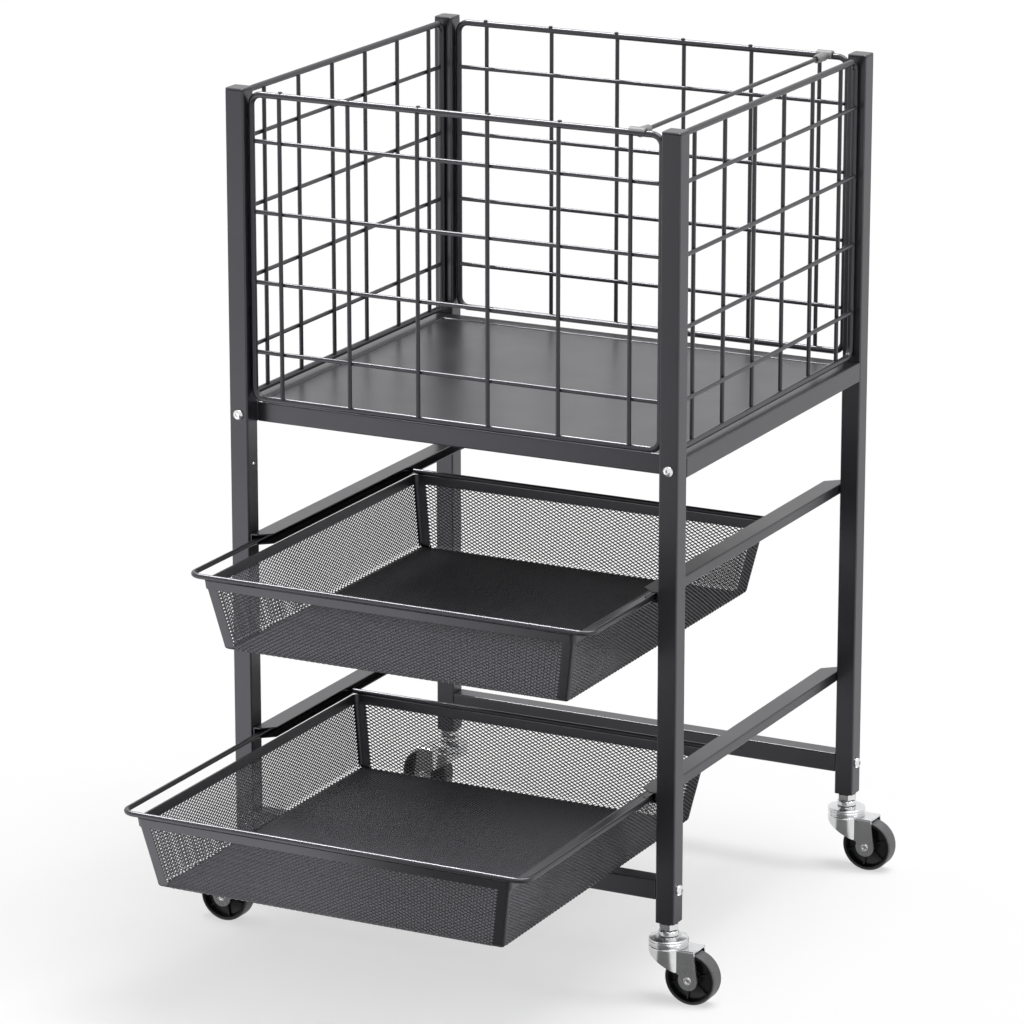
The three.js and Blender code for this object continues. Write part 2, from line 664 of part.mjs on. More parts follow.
// Wire grids on the four sides of the file box
const endGrid = gridShape(innerX - SEAT - FRAME_WIRE / 2, true);
const sideGrid = gridShape(innerY - SEAT - FRAME_WIRE / 2, false);
for (const [name, geometry, x, y, turn] of [
  ['front', endGrid, 0, -postY, 0],
  ['rear', endGrid, 0, postY, Math.PI],
  ['right', sideGrid, postX, 0, Math.PI / 2],
  ['left', sideGrid, -postX, 0, -Math.PI / 2],
]) {
  const grid = piece(cart, `grid_panel_${name}`, geometry, POWDER_COAT);
  grid.position.set(x, y, 0);
  grid.rotation.z = turn;
}

// Hanging rod between its two clips
const hangingRail = new THREE.Group();
hangingRail.position.set(postX - ROD_INSET, 0, gridTop);
cart.add(hangingRail);
const clip = clipShape();
piece(hangingRail, 'rod_clip_front', clip, GREY_PLASTIC).position.set(0, -postY, 0);
const rearClip = piece(hangingRail, 'rod_clip_rear', clip, GREY_PLASTIC);
rearClip.position.set(0, postY, 0);
rearClip.rotation.z = Math.PI;
const rodLength = 2 * (postY - CLIP_ARM + ROD_ENTRY - SEAT);
piece(hangingRail, 'hanging_rod', shapeOf(bar('y', ROD, rodLength, WIRE_SIDES, [0, 0, 0])), POWDER_COAT);

// Runners and the baskets that hang in them
const runner = runnerShape();
const rimHalfX = runnerX - RUNNER_SHEET - RIM_SIDE_GAP - RIM_WIRE / 2;
const rim = wireLoop(rimHalfX, postY, RIM_BEND, RIM_WIRE);
const tub = tubShape(
  runnerX - RUNNER_FLANGE - TUB_SIDE_GAP,
  postY + RIM_WIRE / 2 - TUB_SET_BACK,
);
for (const [level, runnerZ, drawn] of [
  ['upper', upperRunnerZ, UPPER_DRAWN],
  ['lower', lowerRunnerZ, LOWER_DRAWN],
]) {
  for (const [side, x] of [['left', -1], ['right', 1]]) {
    const channel = piece(cart, `runner_${level}_${side}`, runner, POWDER_COAT);
    channel.position.set(x * runnerX, 0, runnerZ);
    channel.rotation.z = x > 0 ? 0 : Math.PI;
  }
  const basket = new THREE.Group();
  basket.position.set(0, -drawn, runnerZ + rimRise);
  cart.add(basket);
  piece(basket, `basket_rim_${level}`, rim, POWDER_COAT);
  piece(basket, `basket_tub_${level}`, tub, POWDER_COAT).position.z = -RIM_WIRE / 2 - SEAT;
}

// Casters, trailing outwards to the left and right
const stem = stemShape();
const cup = cupShape();
const fork = forkShape();
const axle = axleShape();
const wheel = wheelShape();
for (const corner of corners) {
  const caster = new THREE.Group();
  caster.position.set(corner.x * postX, corner.y * postY, 0);
  caster.rotation.z = corner.x > 0 ? 0 : Math.PI;
  cart.add(caster);
  piece(caster, `caster_stem_${corner.name}`, stem, ZINC);
  piece(caster, `caster_cup_${corner.name}`, cup, ZINC);
  piece(caster, `caster_fork_${corner.name}`, fork, ZINC);
  for (const [part, geometry, finish] of [['axle', axle, ZINC], ['wheel', wheel, BLACK_PLASTIC]]) {
    const turning = piece(caster, `caster_${part}_${corner.name}`, geometry, finish);
    turning.position.set(TRAIL, 0, WHEEL_DIAMETER / 2);
    turning.rotation.x = Math.PI / 2;
  }
}

// The origin goes to the floor under the middle of the cart with its baskets drawn out.
const bounds = new THREE.Box3().setFromObject(cart);
const middle = bounds.getCenter(new THREE.Vector3());
cart.position.set(-middle.x, -middle.y, -bounds.min.z);
const fileCart = new THREE.Group();
fileCart.add(cart);

export default fileCart;
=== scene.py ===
import json
import math

import bmesh
import bpy
import numpy as np
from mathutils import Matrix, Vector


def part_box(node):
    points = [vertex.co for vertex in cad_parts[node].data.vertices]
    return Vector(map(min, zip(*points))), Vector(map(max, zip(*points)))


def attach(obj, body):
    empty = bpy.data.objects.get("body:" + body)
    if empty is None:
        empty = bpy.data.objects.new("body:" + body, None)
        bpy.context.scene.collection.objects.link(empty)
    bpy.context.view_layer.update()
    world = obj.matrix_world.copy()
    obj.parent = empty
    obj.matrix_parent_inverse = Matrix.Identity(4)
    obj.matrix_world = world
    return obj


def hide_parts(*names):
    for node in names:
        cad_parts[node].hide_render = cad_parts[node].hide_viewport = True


# A mobile file cart: square tubes, wire grids, expanded-metal baskets and swivel casters.
# Metres, +Z up, the front faces -Y. Places come from the frame, small sizes are named below.
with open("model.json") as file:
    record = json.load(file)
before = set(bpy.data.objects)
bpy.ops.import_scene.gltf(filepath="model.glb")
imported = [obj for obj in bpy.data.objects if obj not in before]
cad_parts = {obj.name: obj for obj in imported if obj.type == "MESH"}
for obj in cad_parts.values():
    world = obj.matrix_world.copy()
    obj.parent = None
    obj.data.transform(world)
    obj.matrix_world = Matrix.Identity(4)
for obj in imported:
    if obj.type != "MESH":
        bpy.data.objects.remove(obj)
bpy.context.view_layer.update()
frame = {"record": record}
bodies = frame["record"]["behaviour"]["bodies"]
body_of = {node: body for body, nodes in bodies.items() for node in nodes}

MM = 0.001
CORNERS = ("front_left", "front_right", "rear_left", "rear_right")

# Camera and stage
CAMERA_PLACE = (2.0961, -4.0774, 1.7109)
CAMERA_TURN = math.radians(27.02)
CAMERA_TILT = math.radians(15.79)
CAMERA_LENS = 180.2
FLOOR_REACH = 40.0
CARD_OUTLINE = ((-0.045, -0.03), (-0.17, -0.26), (0.1, -0.26), (0.06, -0.03))
CARD_RISE = 0.2 * MM
CARD_TONE = 0.16
FRONT_CARD = (
    ((-0.7, -1.8), (0.8, -1.8), (0.5, -0.37), (-0.02, -0.37)),
    ((-1.92, -3.4), (1.0, -3.4), (0.8, -1.8), (-0.7, -1.8)),
)
FRONT_TONE = 0.25
LEFT_CARD = (
    ((-1.7, -1.8), (-0.7, -1.8), (-0.02, -0.37), (-0.9, -0.37)),
    ((-2.8, -3.4), (-1.92, -3.4), (-0.7, -1.8), (-1.7, -1.8)),
)
LEFT_TONE = 2.2

# Square tubes, caps and bolts
TUBE_BEND = 1.6 * MM
TUBE_EASE = 0.35 * MM
CAP_EASE = 0.7 * MM
BOLT_HEAD = 10.5 * MM
BOLT_DOME = 3.5 * MM
BOLT_SOCKET = 3.6 * MM
BOLT_SOCKET_DEPTH = 1.4 * MM
STOP_SCREW = 3.6 * MM
STOP_SCREW_DOME = 1.5 * MM
STOP_SCREW_RISE = 66 * MM

# Shelf
SHELF_SHEET = 1.0 * MM
SHELF_FOLD = 1.8 * MM

# Wire grids, hanging rod and clips
FRAME_WIRE = 6 * MM
FRAME_BEND = 10 * MM
GRID_WIRE = 4 * MM
WELD = 0.6 * MM
UPRIGHT_WIRES = 6
CROSS_WIRES = 4
UPRIGHT_MARGIN = 30 * MM
CROSS_MARGIN = 44 * MM
STUB_RISE = 1.3 * MM
CLIP_BORE = 6.6 * MM
CLIP_WALL = 2.2 * MM
CLIP_OPENING = math.radians(118)
CLIP_ARM = 22 * MM
CLIP_ARM_ROOT = 9.4 * MM
CLIP_ARM_TIP = 7.4 * MM
ROD = 4 * MM
ROD_ENTRY = 14 * MM
CAD_WIRE_FLAT = math.cos(math.pi / 8)

# Runners
RUNNER_SHEET = 1.0 * MM
RUNNER_BEND = 1.6 * MM
RUNNER_NOSE = 11 * MM
RUNNER_LAND = 7 * MM

# Baskets
RIM_WIRE = 5 * MM
RIM_BEND = 12 * MM
TUB_TAPER = 13 * MM
TUB_SHEET = 0.5 * MM
TUB_CORNER = 3 * MM
TUB_CORNER_FOOT = 1.2 * MM
TUB_BASE_BEND = 4 * MM
BAND_HEIGHT = 8.5 * MM
BAND_LEAN = 1.1 * MM
BAND_SHEET = 1.3 * MM
BAND_EASE = 0.35 * MM
WALL_SET_BACK = 1.0 * MM
STRIP_WIDTH = 9.5 * MM
DIAMOND_WIDE = 6.2 * MM
DIAMOND_HIGH = 3.27 * MM
DIAMOND_HOLE = 0.69
STRAND_LEAN = 0.46 * MM
STRAND_SHEET = 0.4 * MM

# Casters
WHEEL_DIAMETER = 50 * MM
WHEEL_WIDTH = 17 * MM
WHEEL_ROUND = 1.8 * MM
WHEEL_RIM = 3.6 * MM
WHEEL_WEB = 5 * MM
WHEEL_RIBS = 6
RIB_SHEET = 1.2 * MM
RIB_SET_BACK = 3.5 * MM
HUB_DIAMETER = 14 * MM
HUB_PROUD = 1.5 * MM
AXLE_DIAMETER = 5 * MM
RIVET_HEAD = 7.2 * MM
RIVET_PROUD = 1.2 * MM
RIVET_HOLE = 3.4 * MM
RIVET_DEPTH = 3 * MM
TRAIL = 25 * MM
FORK_SHEET = 2 * MM
FORK_BEND = 1.5 * MM
FORK_REAR = 6 * MM
FORK_LIP = 3.5 * MM
LEG_OUTSIDE = 12.5 * MM
LEG_END = 9.5 * MM
LEG_NECK = math.radians(155)
LEG_SWING = 40
PLATE_TOP = 53.5 * MM
RACE_DIAMETER = 37 * MM
RACE_HEIGHT = 1.5 * MM
RACE_STEP = 0.8 * MM
CUP_GAP = 0.3 * MM
CUP_SHOULDER = 1.4 * MM
CUP_CROWN = 25 * MM
CUP_GROOVE = 0.5 * MM
COLLAR_DIAMETER = 19 * MM
COLLAR_HEIGHT = 6 * MM
HEX_FLATS = 17 * MM
HEX_HEIGHT = 6.7 * MM
HEX_EASE = 0.7 * MM
STEM_DIAMETER = 10 * MM

# Fineness of the surfaces
BEND_STEPS = 6
WIRE_SIDES = 20
GRID_SIDES = 14
TURNED_SIDES = 48
SMOOTH_BELOW = math.radians(40)
WELD_DISTANCE = 0.001 * MM


class Shape:
    """Surfaces gathered into one mesh: points, a value at each point that marks wear and painted sheen, and
    faces.
    """

    def __init__(self):
        self.points = []
        self.wear_and_sheen = []
        self.faces = []
        self.count = 0

    def add_points(self, points, wear_and_sheen=0.0):
        """Adds points and gives the number of the first."""
        first = self.count
        self.points.append(np.reshape(points, (-1, 3)))
        self.wear_and_sheen.append(np.broadcast_to(wear_and_sheen, points.shape[:-1]).ravel())
        self.count += len(self.points[-1])
        return first

    def solid(self, rings, wear_and_sheen=0.0, loop=False):
        """Rings of points joined by quads: a closed loop of rings, or a body capped at both ends."""
        if loop:
            rings = np.concatenate([rings, rings[:1]])
        first = self.add_points(rings, wear_and_sheen)
        rows, columns = rings.shape[:2]
        number = first + np.arange(rows * columns).reshape(rows, columns)
        wrapped = np.hstack([number, number[:, :1]])
        quads = [wrapped[:-1, :-1], wrapped[:-1, 1:], wrapped[1:, 1:], wrapped[1:, :-1]]
        self.faces += np.stack(quads, -1).reshape(-1, 4).tolist()
        if not loop:
            self.faces += [number[0].tolist(), number[-1].tolist()]


def add_piece(name, node, shape, material, smooth=True):
    """The object that stands for a node: points welded, faces outwards, flats kept flat."""
    mesh = bpy.data.meshes.new(name)
    mesh.from_pydata(np.concatenate(shape.points).tolist(), [], shape.faces)
    # Each point's value marks where the materials paint wear and a painted sheen: the tube bends and the wheel
    # tread.
    wear_and_sheen = mesh.attributes.new("wear_and_sheen", "FLOAT", "POINT")
    wear_and_sheen.data.foreach_set("value", np.concatenate(shape.wear_and_sheen).astype(np.float32))
    body = bmesh.new()
    body.from_mesh(mesh)
    bmesh.ops.remove_doubles(body, verts=body.verts, dist=WELD_DISTANCE)
    bmesh.ops.recalc_face_normals(body, faces=body.faces)
    body.to_mesh(mesh)
    body.free()
    mesh.materials.append(material)
    piece = bpy.data.objects.new(name, mesh)
    bpy.context.scene.collection.objects.link(piece)
    if smooth:
        mesh.shade_smooth()
        mesh.set_sharp_from_angle(angle=SMOOTH_BELOW)
        piece.modifiers.new("even_flats", "WEIGHTED_NORMAL").keep_sharp = True
    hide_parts(node)
    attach(piece, body_of[node])
    return piece


def span(node):
    """The lowest and highest corners of a node, as arrays."""
    low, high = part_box(node)
    return np.array(low), np.array(high)


def rounded_outline(half_a, half_b, bend, steps=BEND_STEPS):
    """A rectangle whose corners are quarter circles: its points and their outward directions."""
    turn = np.linspace(0, math.pi / 2, steps + 1)
    angle = (turn + np.arange(4)[:, None] * math.pi / 2).ravel()
    out = np.stack([np.cos(angle), np.sin(angle)], -1)
    sign_a = np.repeat([1, -1, -1, 1], steps + 1)
    sign_b = np.repeat([1, 1, -1, -1], steps + 1)
    middle = np.stack([sign_a * (half_a - bend), sign_b * (half_b - bend)], -1)
    return middle + bend * out, out


def square_bar(low, high, axis, bend, ease_low, ease_high):
    """A rounded square carried along one axis between two corners, its end rings drawn in."""
    middle = (low + high) / 2
    half = (high - low) / 2
    side_a, side_b = [side for side in range(3) if side != axis]
    outline, _ = rounded_outline(half[side_a], half[side_b], bend)
    along = np.array([low[axis], low[axis] + ease_low, high[axis] - ease_high, high[axis]])
    drawn_in = np.array([ease_low, 0, 0, ease_high])
    share = 1 - drawn_in / half[side_a]
    rings = np.zeros((4, len(outline), 3))
    rings[..., side_a] = middle[side_a] + share[:, None] * outline[:, 0]
    rings[..., side_b] = middle[side_b] + share[:, None] * outline[:, 1]
    rings[..., axis] = along[:, None]
    return rings


def turned(profile, axis=2, sides=TURNED_SIDES):
    """Radius and height pairs turned about an axis: each pair is a ring of points."""
    angle = 2 * math.pi * np.arange(sides) / sides
    radius = np.stack([np.broadcast_to(r, sides) for r, _ in profile])
    height = np.array([[h] for _, h in profile])
    rings = np.stack([
        radius * np.cos(angle),
        radius * np.sin(angle),
        np.broadcast_to(height, radius.shape),
    ], -1)
    return np.roll(rings, axis + 1, axis=-1)


def arc(centre, radius, start, end, steps):
    """Points on a circle between two angles, as radius and height pairs."""
    return [
        (centre[0] + radius * math.cos(angle), centre[1] + radius * math.sin(angle))
        for angle in np.linspace(start, end, steps + 1)
    ]


def round_bar(radius, low, high, axis, sides, ease):
    """A round bar along an axis between two heights, with its ends rounded off."""
    return turned([
        (radius - ease, low),
        (radius - 0.3 * ease, low + 0.3 * ease),
        (radius, low + ease),
        (radius, high - ease),
        (radius - 0.3 * ease, high - 0.3 * ease),
        (radius - ease, high),
    ], axis, sides)


def wire_loop(half_a, half_b, bend, wire, flat_axis):
    """A wire bent into a rectangle: a circle carried round a rounded outline, square to it."""
    at, out = rounded_outline(half_a, half_b, bend, 2 * BEND_STEPS)
    angle = 2 * math.pi * np.arange(WIRE_SIDES) / WIRE_SIDES
    reach = wire / 2 * np.cos(angle)
    plane = at[:, None, :] + out[:, None, :] * reach[None, :, None]
    rise = np.broadcast_to(wire / 2 * np.sin(angle), plane.shape[:2])
    rings = np.concatenate([plane, rise[..., None]], -1)
    if flat_axis == 1:
        return rings[..., [0, 2, 1]]
    return rings if flat_axis == 2 else rings[..., [2, 0, 1]]


def strip_outline(path, thickness):
    """A closed section round an open line of points: the line, and the line moved to its left."""
    path = np.array(path)
    step = np.gradient(path, axis=0)
    left = np.stack([-step[:, 1], step[:, 0]], -1)
    left /= np.linalg.norm(left, axis=-1, keepdims=True)
    return np.concatenate([path, (path + thickness * left)[::-1]])


class Link:
    """A shader output that takes Python's operators; each one adds a Math node."""

    def __init__(self, finish, socket):
        self.finish = finish
        self.socket = socket

    def math(self, operation, first, second):
        return self.finish.node("Math", {"operation": operation}, {0: first, 1: second})

    def __add__(self, other):
        return self.math("ADD", self, other)

    def __sub__(self, other):
        return self.math("SUBTRACT", self, other)

    def __rsub__(self, other):
        return self.math("SUBTRACT", other, self)

    def __mul__(self, other):
        return self.math("MULTIPLY", self, other)

    __radd__ = __add__
    __rmul__ = __mul__


class Finish:
    """A material or world in the making, with its nodes."""

    def __init__(self, owner):
        owner.use_nodes = True
        self.tree = owner.node_tree

    def node(self, kind, settings=None, inputs=None, output=0):
        """Adds a node: its settings first, then the values or links of its sockets."""
        made = self.tree.nodes.new("ShaderNode" + kind)
        for name, value in (settings or {}).items():
            setattr(made, name, value)
        for key, value in (inputs or {}).items():
            self.feed(made.inputs[key], value)
        return Link(self, made.outputs[output])

    def feed(self, socket, value):
        """Links an output to a socket, or sets the socket's own value."""
        if isinstance(value, Link):
            self.tree.links.new(value.socket, socket)
        else:
            socket.default_value = value

    def shader(self, **values):
        """Sets the sockets of the material's own shader."""
        for name, value in values.items():
            self.feed(self.tree.nodes["Principled BSDF"].inputs[name.replace("_", " ")], value)

    def noise(self, scale, detail=2.0, stretch=None):
        """Noise on the piece's own coordinates, in cycles a metre, squeezed along an axis if asked."""
        place = self.node("TexCoord", output="Object")
        if stretch:
            place = self.node("Mapping", None, {"Vector": place, "Scale": stretch})
        return self.node("TexNoise", None, {"Vector": place, "Scale": scale, "Detail": detail})

    def between(self, low, high, share):
        """A value that runs from low to high with a share."""
        return share * (high - low) + low

    def mix(self, first, second, share):
        """A colour that runs from the first to the second with a share."""
        return self.node("Mix", {"data_type": "RGBA"}, {0: share, 6: first, 7: second}, 2)

    def bump(self, height, strength, distance):
        """A surface normal roughened by a height."""
        return self.node("Bump", None, {"Height": height, "Strength": strength, "Distance": distance})

    def wear_and_sheen(self):
        """The value carried by the piece's points that marks wear and painted sheen."""
        return self.node("Attribute", {"attribute_name": "wear_and_sheen"}, None, "Fac")


def new_finish(name):
    """A material with its finish."""
    material = bpy.data.materials.new(name)
    return material, Finish(material)


def powder_coat():
    """Charcoal powder coat: a fine grain, cloudy gloss, and bends painted lighter, partly where the coat is thin
    and partly as a painted highlight along them.
    """
    material, finish = new_finish("powder_coat")
    grain = finish.noise(1500, 3)
    cloud = finish.noise(14, 3)
    coat = finish.mix((0.009, 0.0088, 0.0107, 1), (0.015, 0.0147, 0.017, 1), grain)
    # Lighter on the marked bends: edge wear, and a painted highlight along the bends.
    worn_and_sheen = finish.mix(coat, (0.07, 0.069, 0.074, 1), finish.wear_and_sheen() * finish.noise(60, 4) * 0.6)
    finish.shader(
        Base_Color=worn_and_sheen,
        Roughness=finish.between(0.26, 0.38, cloud),
        Metallic=0.0,
        Normal=finish.bump(grain, 0.12, 0.1 * MM),
    )
    finish.shader(Specular_IOR_Level=0.74, Specular_Tint=(0.94, 0.92, 1.0, 1))
    return material


def bright_steel():
    """Bright plated steel: almost a mirror, with faint turning marks."""
    material, finish = new_finish("bright_steel")
    marks = finish.noise(900, 2)
    finish.shader(
        Base_Color=finish.mix((0.72, 0.72, 0.73, 1), (0.82, 0.82, 0.83, 1), marks),
        Roughness=finish.between(0.12, 0.24, marks),
        Metallic=1.0,
        Normal=finish.bump(marks, 0.05, 0.1 * MM),
    )
    return material


def zinc():
    """Bright zinc plate: cloudy, with fine rolling scratches across the sheet."""
    material, finish = new_finish("zinc")
    cloud = finish.noise(120, 3)
    scratches = finish.noise(500, 3, (1, 1, 0.06))
    finish.shader(
        Base_Color=finish.mix((0.66, 0.665, 0.675, 1), (0.8, 0.805, 0.81, 1), cloud),
        Roughness=finish.between(0.14, 0.26, scratches),
        Metallic=1.0,
        Normal=finish.bump(scratches, 0.06, 0.1 * MM),
    )
    return material


def wheel_plastic():
    """Moulded black plastic, grey on the tread: scuffs, and a painted sheen where the tread catches light."""
    material, finish = new_finish("wheel_plastic")
    scuff = finish.noise(260, 4)
    # The tread is painted grey: partly scuffing, partly a painted sheen that stands in for the light it catches.
    tread = finish.wear_and_sheen() * finish.between(0.55, 1.0, scuff)
    finish.shader(
        Base_Color=finish.mix((0.008, 0.008, 0.009, 1), (0.12, 0.12, 0.125, 1), tread),
        Roughness=finish.between(0.28, 0.5, finish.wear_and_sheen()),
        Normal=finish.bump(scuff, 0.08, 0.1 * MM),
    )
    return material


def clip_plastic():
    """Moulded grey plastic with a fine matte grain."""
    material, finish = new_finish("clip_plastic")
    grain = finish.noise(1100, 3)
    finish.shader(
        Base_Color=finish.mix((0.24, 0.24, 0.247, 1), (0.31, 0.31, 0.317, 1), grain),
        Roughness=finish.between(0.42, 0.6, grain),
        Normal=finish.bump(grain, 0.15, 0.1 * MM),
    )
    return material


POWDER_COAT = powder_coat()
BRIGHT_STEEL = bright_steel()
ZINC = zinc()
WHEEL_PLASTIC = wheel_plastic()
CLIP_PLASTIC = clip_plastic()

posts = {corner: span(f"post_{corner}") for corner in CORNERS}
post_middle = {corner: (low + high) / 2 for corner, (low, high) in posts.items()}
side_of = {corner: (1 if "right" in corner else -1) for corner in CORNERS}
end_of = {corner: (1 if "rear" in corner else -1) for corner in CORNERS}


def tube_wear_and_sheen():
    """Wear and painted sheen of a square tube: one on the round bends, none on the flats."""
    steps = np.linspace(0, math.pi, BEND_STEPS + 1)
    return np.tile(np.sin(steps), 4)


def add_tubes():
    """Posts, their caps, and the rails: square bars with soft ends."""
    nodes = {f"post_{corner}": (2, TUBE_EASE, TUBE_EASE) for corner in CORNERS}
    nodes |= {f"post_cap_{corner}": (2, 0.1 * MM, CAP_EASE) for corner in CORNERS}
    nodes |= {f"tray_rail_{side}": (1, TUBE_EASE, TUBE_EASE) for side in ("left", "right")}
    for end in ("front", "rear"):
        nodes[f"tray_rail_{end}"] = (0, TUBE_EASE, TUBE_EASE)
        nodes[f"bottom_rail_{end}"] = (0, TUBE_EASE, TUBE_EASE)
    for node, (axis, ease_low, ease_high) in nodes.items():
        low, high = span(node)
        if "cap" in node:
            low[2] = posts[node.replace("post_cap_", "")][1][2] + 0.2 * MM
        shape = Shape()
        shape.solid(square_bar(low, high, axis, TUBE_BEND, ease_low, ease_high), tube_wear_and_sheen())
        add_piece(f"finished_{node}", node, shape, POWDER_COAT)


def dome_head(diameter, dome, socket, depth):
    """A domed head with a hexagon socket: quarter-ellipse rings, then the socket's wall and floor."""
    angle = 2 * math.pi * np.arange(TURNED_SIDES) / TURNED_SIDES
    hexagon = socket / 2 / np.cos(np.mod(angle, math.pi / 3) - math.pi / 6)
    top = math.acos(1.25 * socket / diameter)
    sweep = np.linspace(0, top, BEND_STEPS + 1)
    profile = [(0, -MM), (diameter / 2 - 0.4 * MM, -MM), (diameter / 2, 0)]
    profile += [(diameter / 2 * math.cos(a), dome * math.sin(a)) for a in sweep]
    rim = dome * math.sin(top)
    profile += [(hexagon, rim), (hexagon * 0.94, rim - depth), (0, rim - depth * 1.15)]
    return profile


def add_bolts():
    """The bolts' domed heads, and the small stop screws inside the front posts."""
    for corner in CORNERS:
        for kind, axis, sign in (("tray", 1, end_of[corner]), ("rail", 0, side_of[corner])):
            node = f"{kind}_bolt_{corner}"
            low, high = span(node)
            place = (low + high) / 2
            outside = high if sign > 0 else low
            place[axis] = outside[axis] - sign * BOLT_DOME
            head = turned(dome_head(BOLT_HEAD, BOLT_DOME, BOLT_SOCKET, BOLT_SOCKET_DEPTH), axis)
            head[..., axis] *= sign
            shape = Shape()
            shape.solid(head + place)
            add_piece(f"finished_{node}", node, shape, BRIGHT_STEEL)
    for corner in ("front_left", "front_right"):
        low, high = posts[corner]
        sign = -side_of[corner]
        place = post_middle[corner].copy()
        place[0] = (high if sign > 0 else low)[0]
        place[2] = span(f"runner_upper_{corner.split('_')[1]}")[1][2] + STOP_SCREW_RISE
        screw = turned(dome_head(STOP_SCREW, STOP_SCREW_DOME, STOP_SCREW / 3, STOP_SCREW_DOME / 3), 0)
        screw[..., 0] *= sign
        shape = Shape()
        shape.solid(screw + place)
        add_piece(f"stop_screw_{corner}", f"tray_bolt_{corner}", shape, BRIGHT_STEEL)


def add_shelf():
    """The shelf: rounded rectangles from under the sheet, round the folded edge, to its top."""
    low, high = span("shelf_plate")
    middle = (low + high) / 2
    half = (high - low) / 2
    fold = [
        (SHELF_FOLD * (1 - math.sin(a)), high[2] - SHELF_FOLD * (1 - math.cos(a)))
        for a in np.linspace(math.pi / 2, 0, BEND_STEPS + 1)
    ]
    section = [(SHELF_SHEET, high[2] - SHELF_SHEET), (SHELF_SHEET, low[2]), (0, low[2])] + fold
    rings = []
    for inset, height in section:
        outline, _ = rounded_outline(half[0] - inset, half[1] - inset, 2 * SHELF_FOLD)
        rings.append(np.c_[outline + middle[:2], np.full(len(outline), height)])
    shape = Shape()
    shape.solid(np.array(rings))
    add_piece("finished_shelf_plate", "shelf_plate", shape, POWDER_COAT)


def add_grid(name, across, uprights_outside):
    """A wire grid: a bent frame wire, bars welded on both sides of its middle plane, and the
    uprights' ends standing just above the top wire."""
    node = f"grid_panel_{name}"
    low, high = span(node)
    through = 1 - across
    corner = {"front": "front_left", "rear": "rear_left", "left": "front_left", "right": "front_right"}[name]
    reach = FRAME_WIRE / 2 * CAD_WIRE_FLAT
    half = (high - low) / 2 - reach
    middle = (low + high) / 2
    middle[through] = post_middle[corner][through]
    outward = -1 if name in ("front", "left") else 1
    lay = outward * (GRID_WIRE - WELD) / 2 * (1 if uprights_outside else -1)
    shape = Shape()
    loop = wire_loop(half[across], half[2], FRAME_BEND, FRAME_WIRE, through)
    shape.solid(loop + middle, 0.0, loop=True)
    upright_reach = half[2] - FRAME_WIRE / 2 + 2 * WELD
    for place in np.linspace(-1, 1, UPRIGHT_WIRES) * (half[across] - UPRIGHT_MARGIN):
        bar = round_bar(GRID_WIRE / 2, -upright_reach, upright_reach, 2, GRID_SIDES, WELD)
        bar[..., across] += place
        bar[..., through] += lay
        shape.solid(bar + middle)
        if across == 0 and place < half[across] - 1.5 * UPRIGHT_MARGIN:
            top = half[2] + FRAME_WIRE / 2 + STUB_RISE
            stub = round_bar(GRID_WIRE / 2, half[2], top, 2, GRID_SIDES, WELD)
            stub[..., across] += place
            stub[..., through] -= outward * WELD
            shape.solid(stub + middle)
    cross_reach = half[across] - FRAME_WIRE / 2 + 2 * WELD
    for place in np.linspace(-1, 1, CROSS_WIRES) * (half[2] - CROSS_MARGIN):
        bar = round_bar(GRID_WIRE / 2, -cross_reach, cross_reach, across, GRID_SIDES, WELD)
        bar[..., 2] += place
        bar[..., through] -= lay
        shape.solid(bar + middle)
    add_piece(f"finished_{node}", node, shape, POWDER_COAT)


def add_hanging_rail():
    """The rod, and at each end a clip: a C-section saddle over the grid's top wire with a
    tapered arm that holds the rod's end."""
    low, high = span("hanging_rod")
    middle = (low + high) / 2
    shape = Shape()
    rod = round_bar(ROD / 2, low[1], high[1], 1, WIRE_SIDES, 0.4 * MM)
    shape.solid(rod + middle * np.array([1, 0, 1]))
    add_piece("finished_hanging_rod", "hanging_rod", shape, POWDER_COAT)
    outer = CLIP_BORE / 2 + CLIP_WALL
    turn = np.linspace(math.pi * 1.5 - CLIP_OPENING, -0.4, 4 * BEND_STEPS)
    around = np.stack([np.cos(turn), np.sin(turn)], -1)
    for end, corner in (("front", "front_left"), ("rear", "rear_left")):
        node = f"rod_clip_{end}"
        inward = -end_of[corner]
        clip_low, clip_high = span(node)
        place = np.array([middle[0], post_middle[corner][1], middle[2]])
        half = (clip_high[0] - clip_low[0]) / 2
        rings = []
        for along, eased in ((-half, 0.5), (-half + 0.5 * MM, 0), (half - 0.5 * MM, 0), (half, 0.5)):
            rim_out = around * (outer - eased * MM)
            rim_in = around[::-1] * (CLIP_BORE / 2 + eased * MM * 0.5)
            section = np.concatenate([rim_out, rim_in])
            rings.append(np.c_[np.full(len(section), along), inward * section[:, 0], section[:, 1]])
        shape = Shape()
        shape.solid(np.array(rings) + place)
        root, tip, bore = CLIP_ARM_ROOT / 2, CLIP_ARM_TIP / 2, ROD / 2 + 0.3 * MM
        arm = turned([
            (0, CLIP_BORE / 2 + 0.3 * MM),
            (root * 0.99, CLIP_BORE / 2 + 0.3 * MM),
            (tip + 0.25 * MM, CLIP_ARM - 1.2 * MM),
            (tip - 0.2 * MM, CLIP_ARM - 0.3 * MM),
            (tip - 0.7 * MM, CLIP_ARM),
            (bore, CLIP_ARM),
            (bore, CLIP_ARM - ROD_ENTRY),
            (0, CLIP_ARM - ROD_ENTRY),
        ], 1)
        arm[..., 1] *= inward
        shape.solid(arm + place)
        add_piece(f"finished_{node}", node, shape, CLIP_PLASTIC)


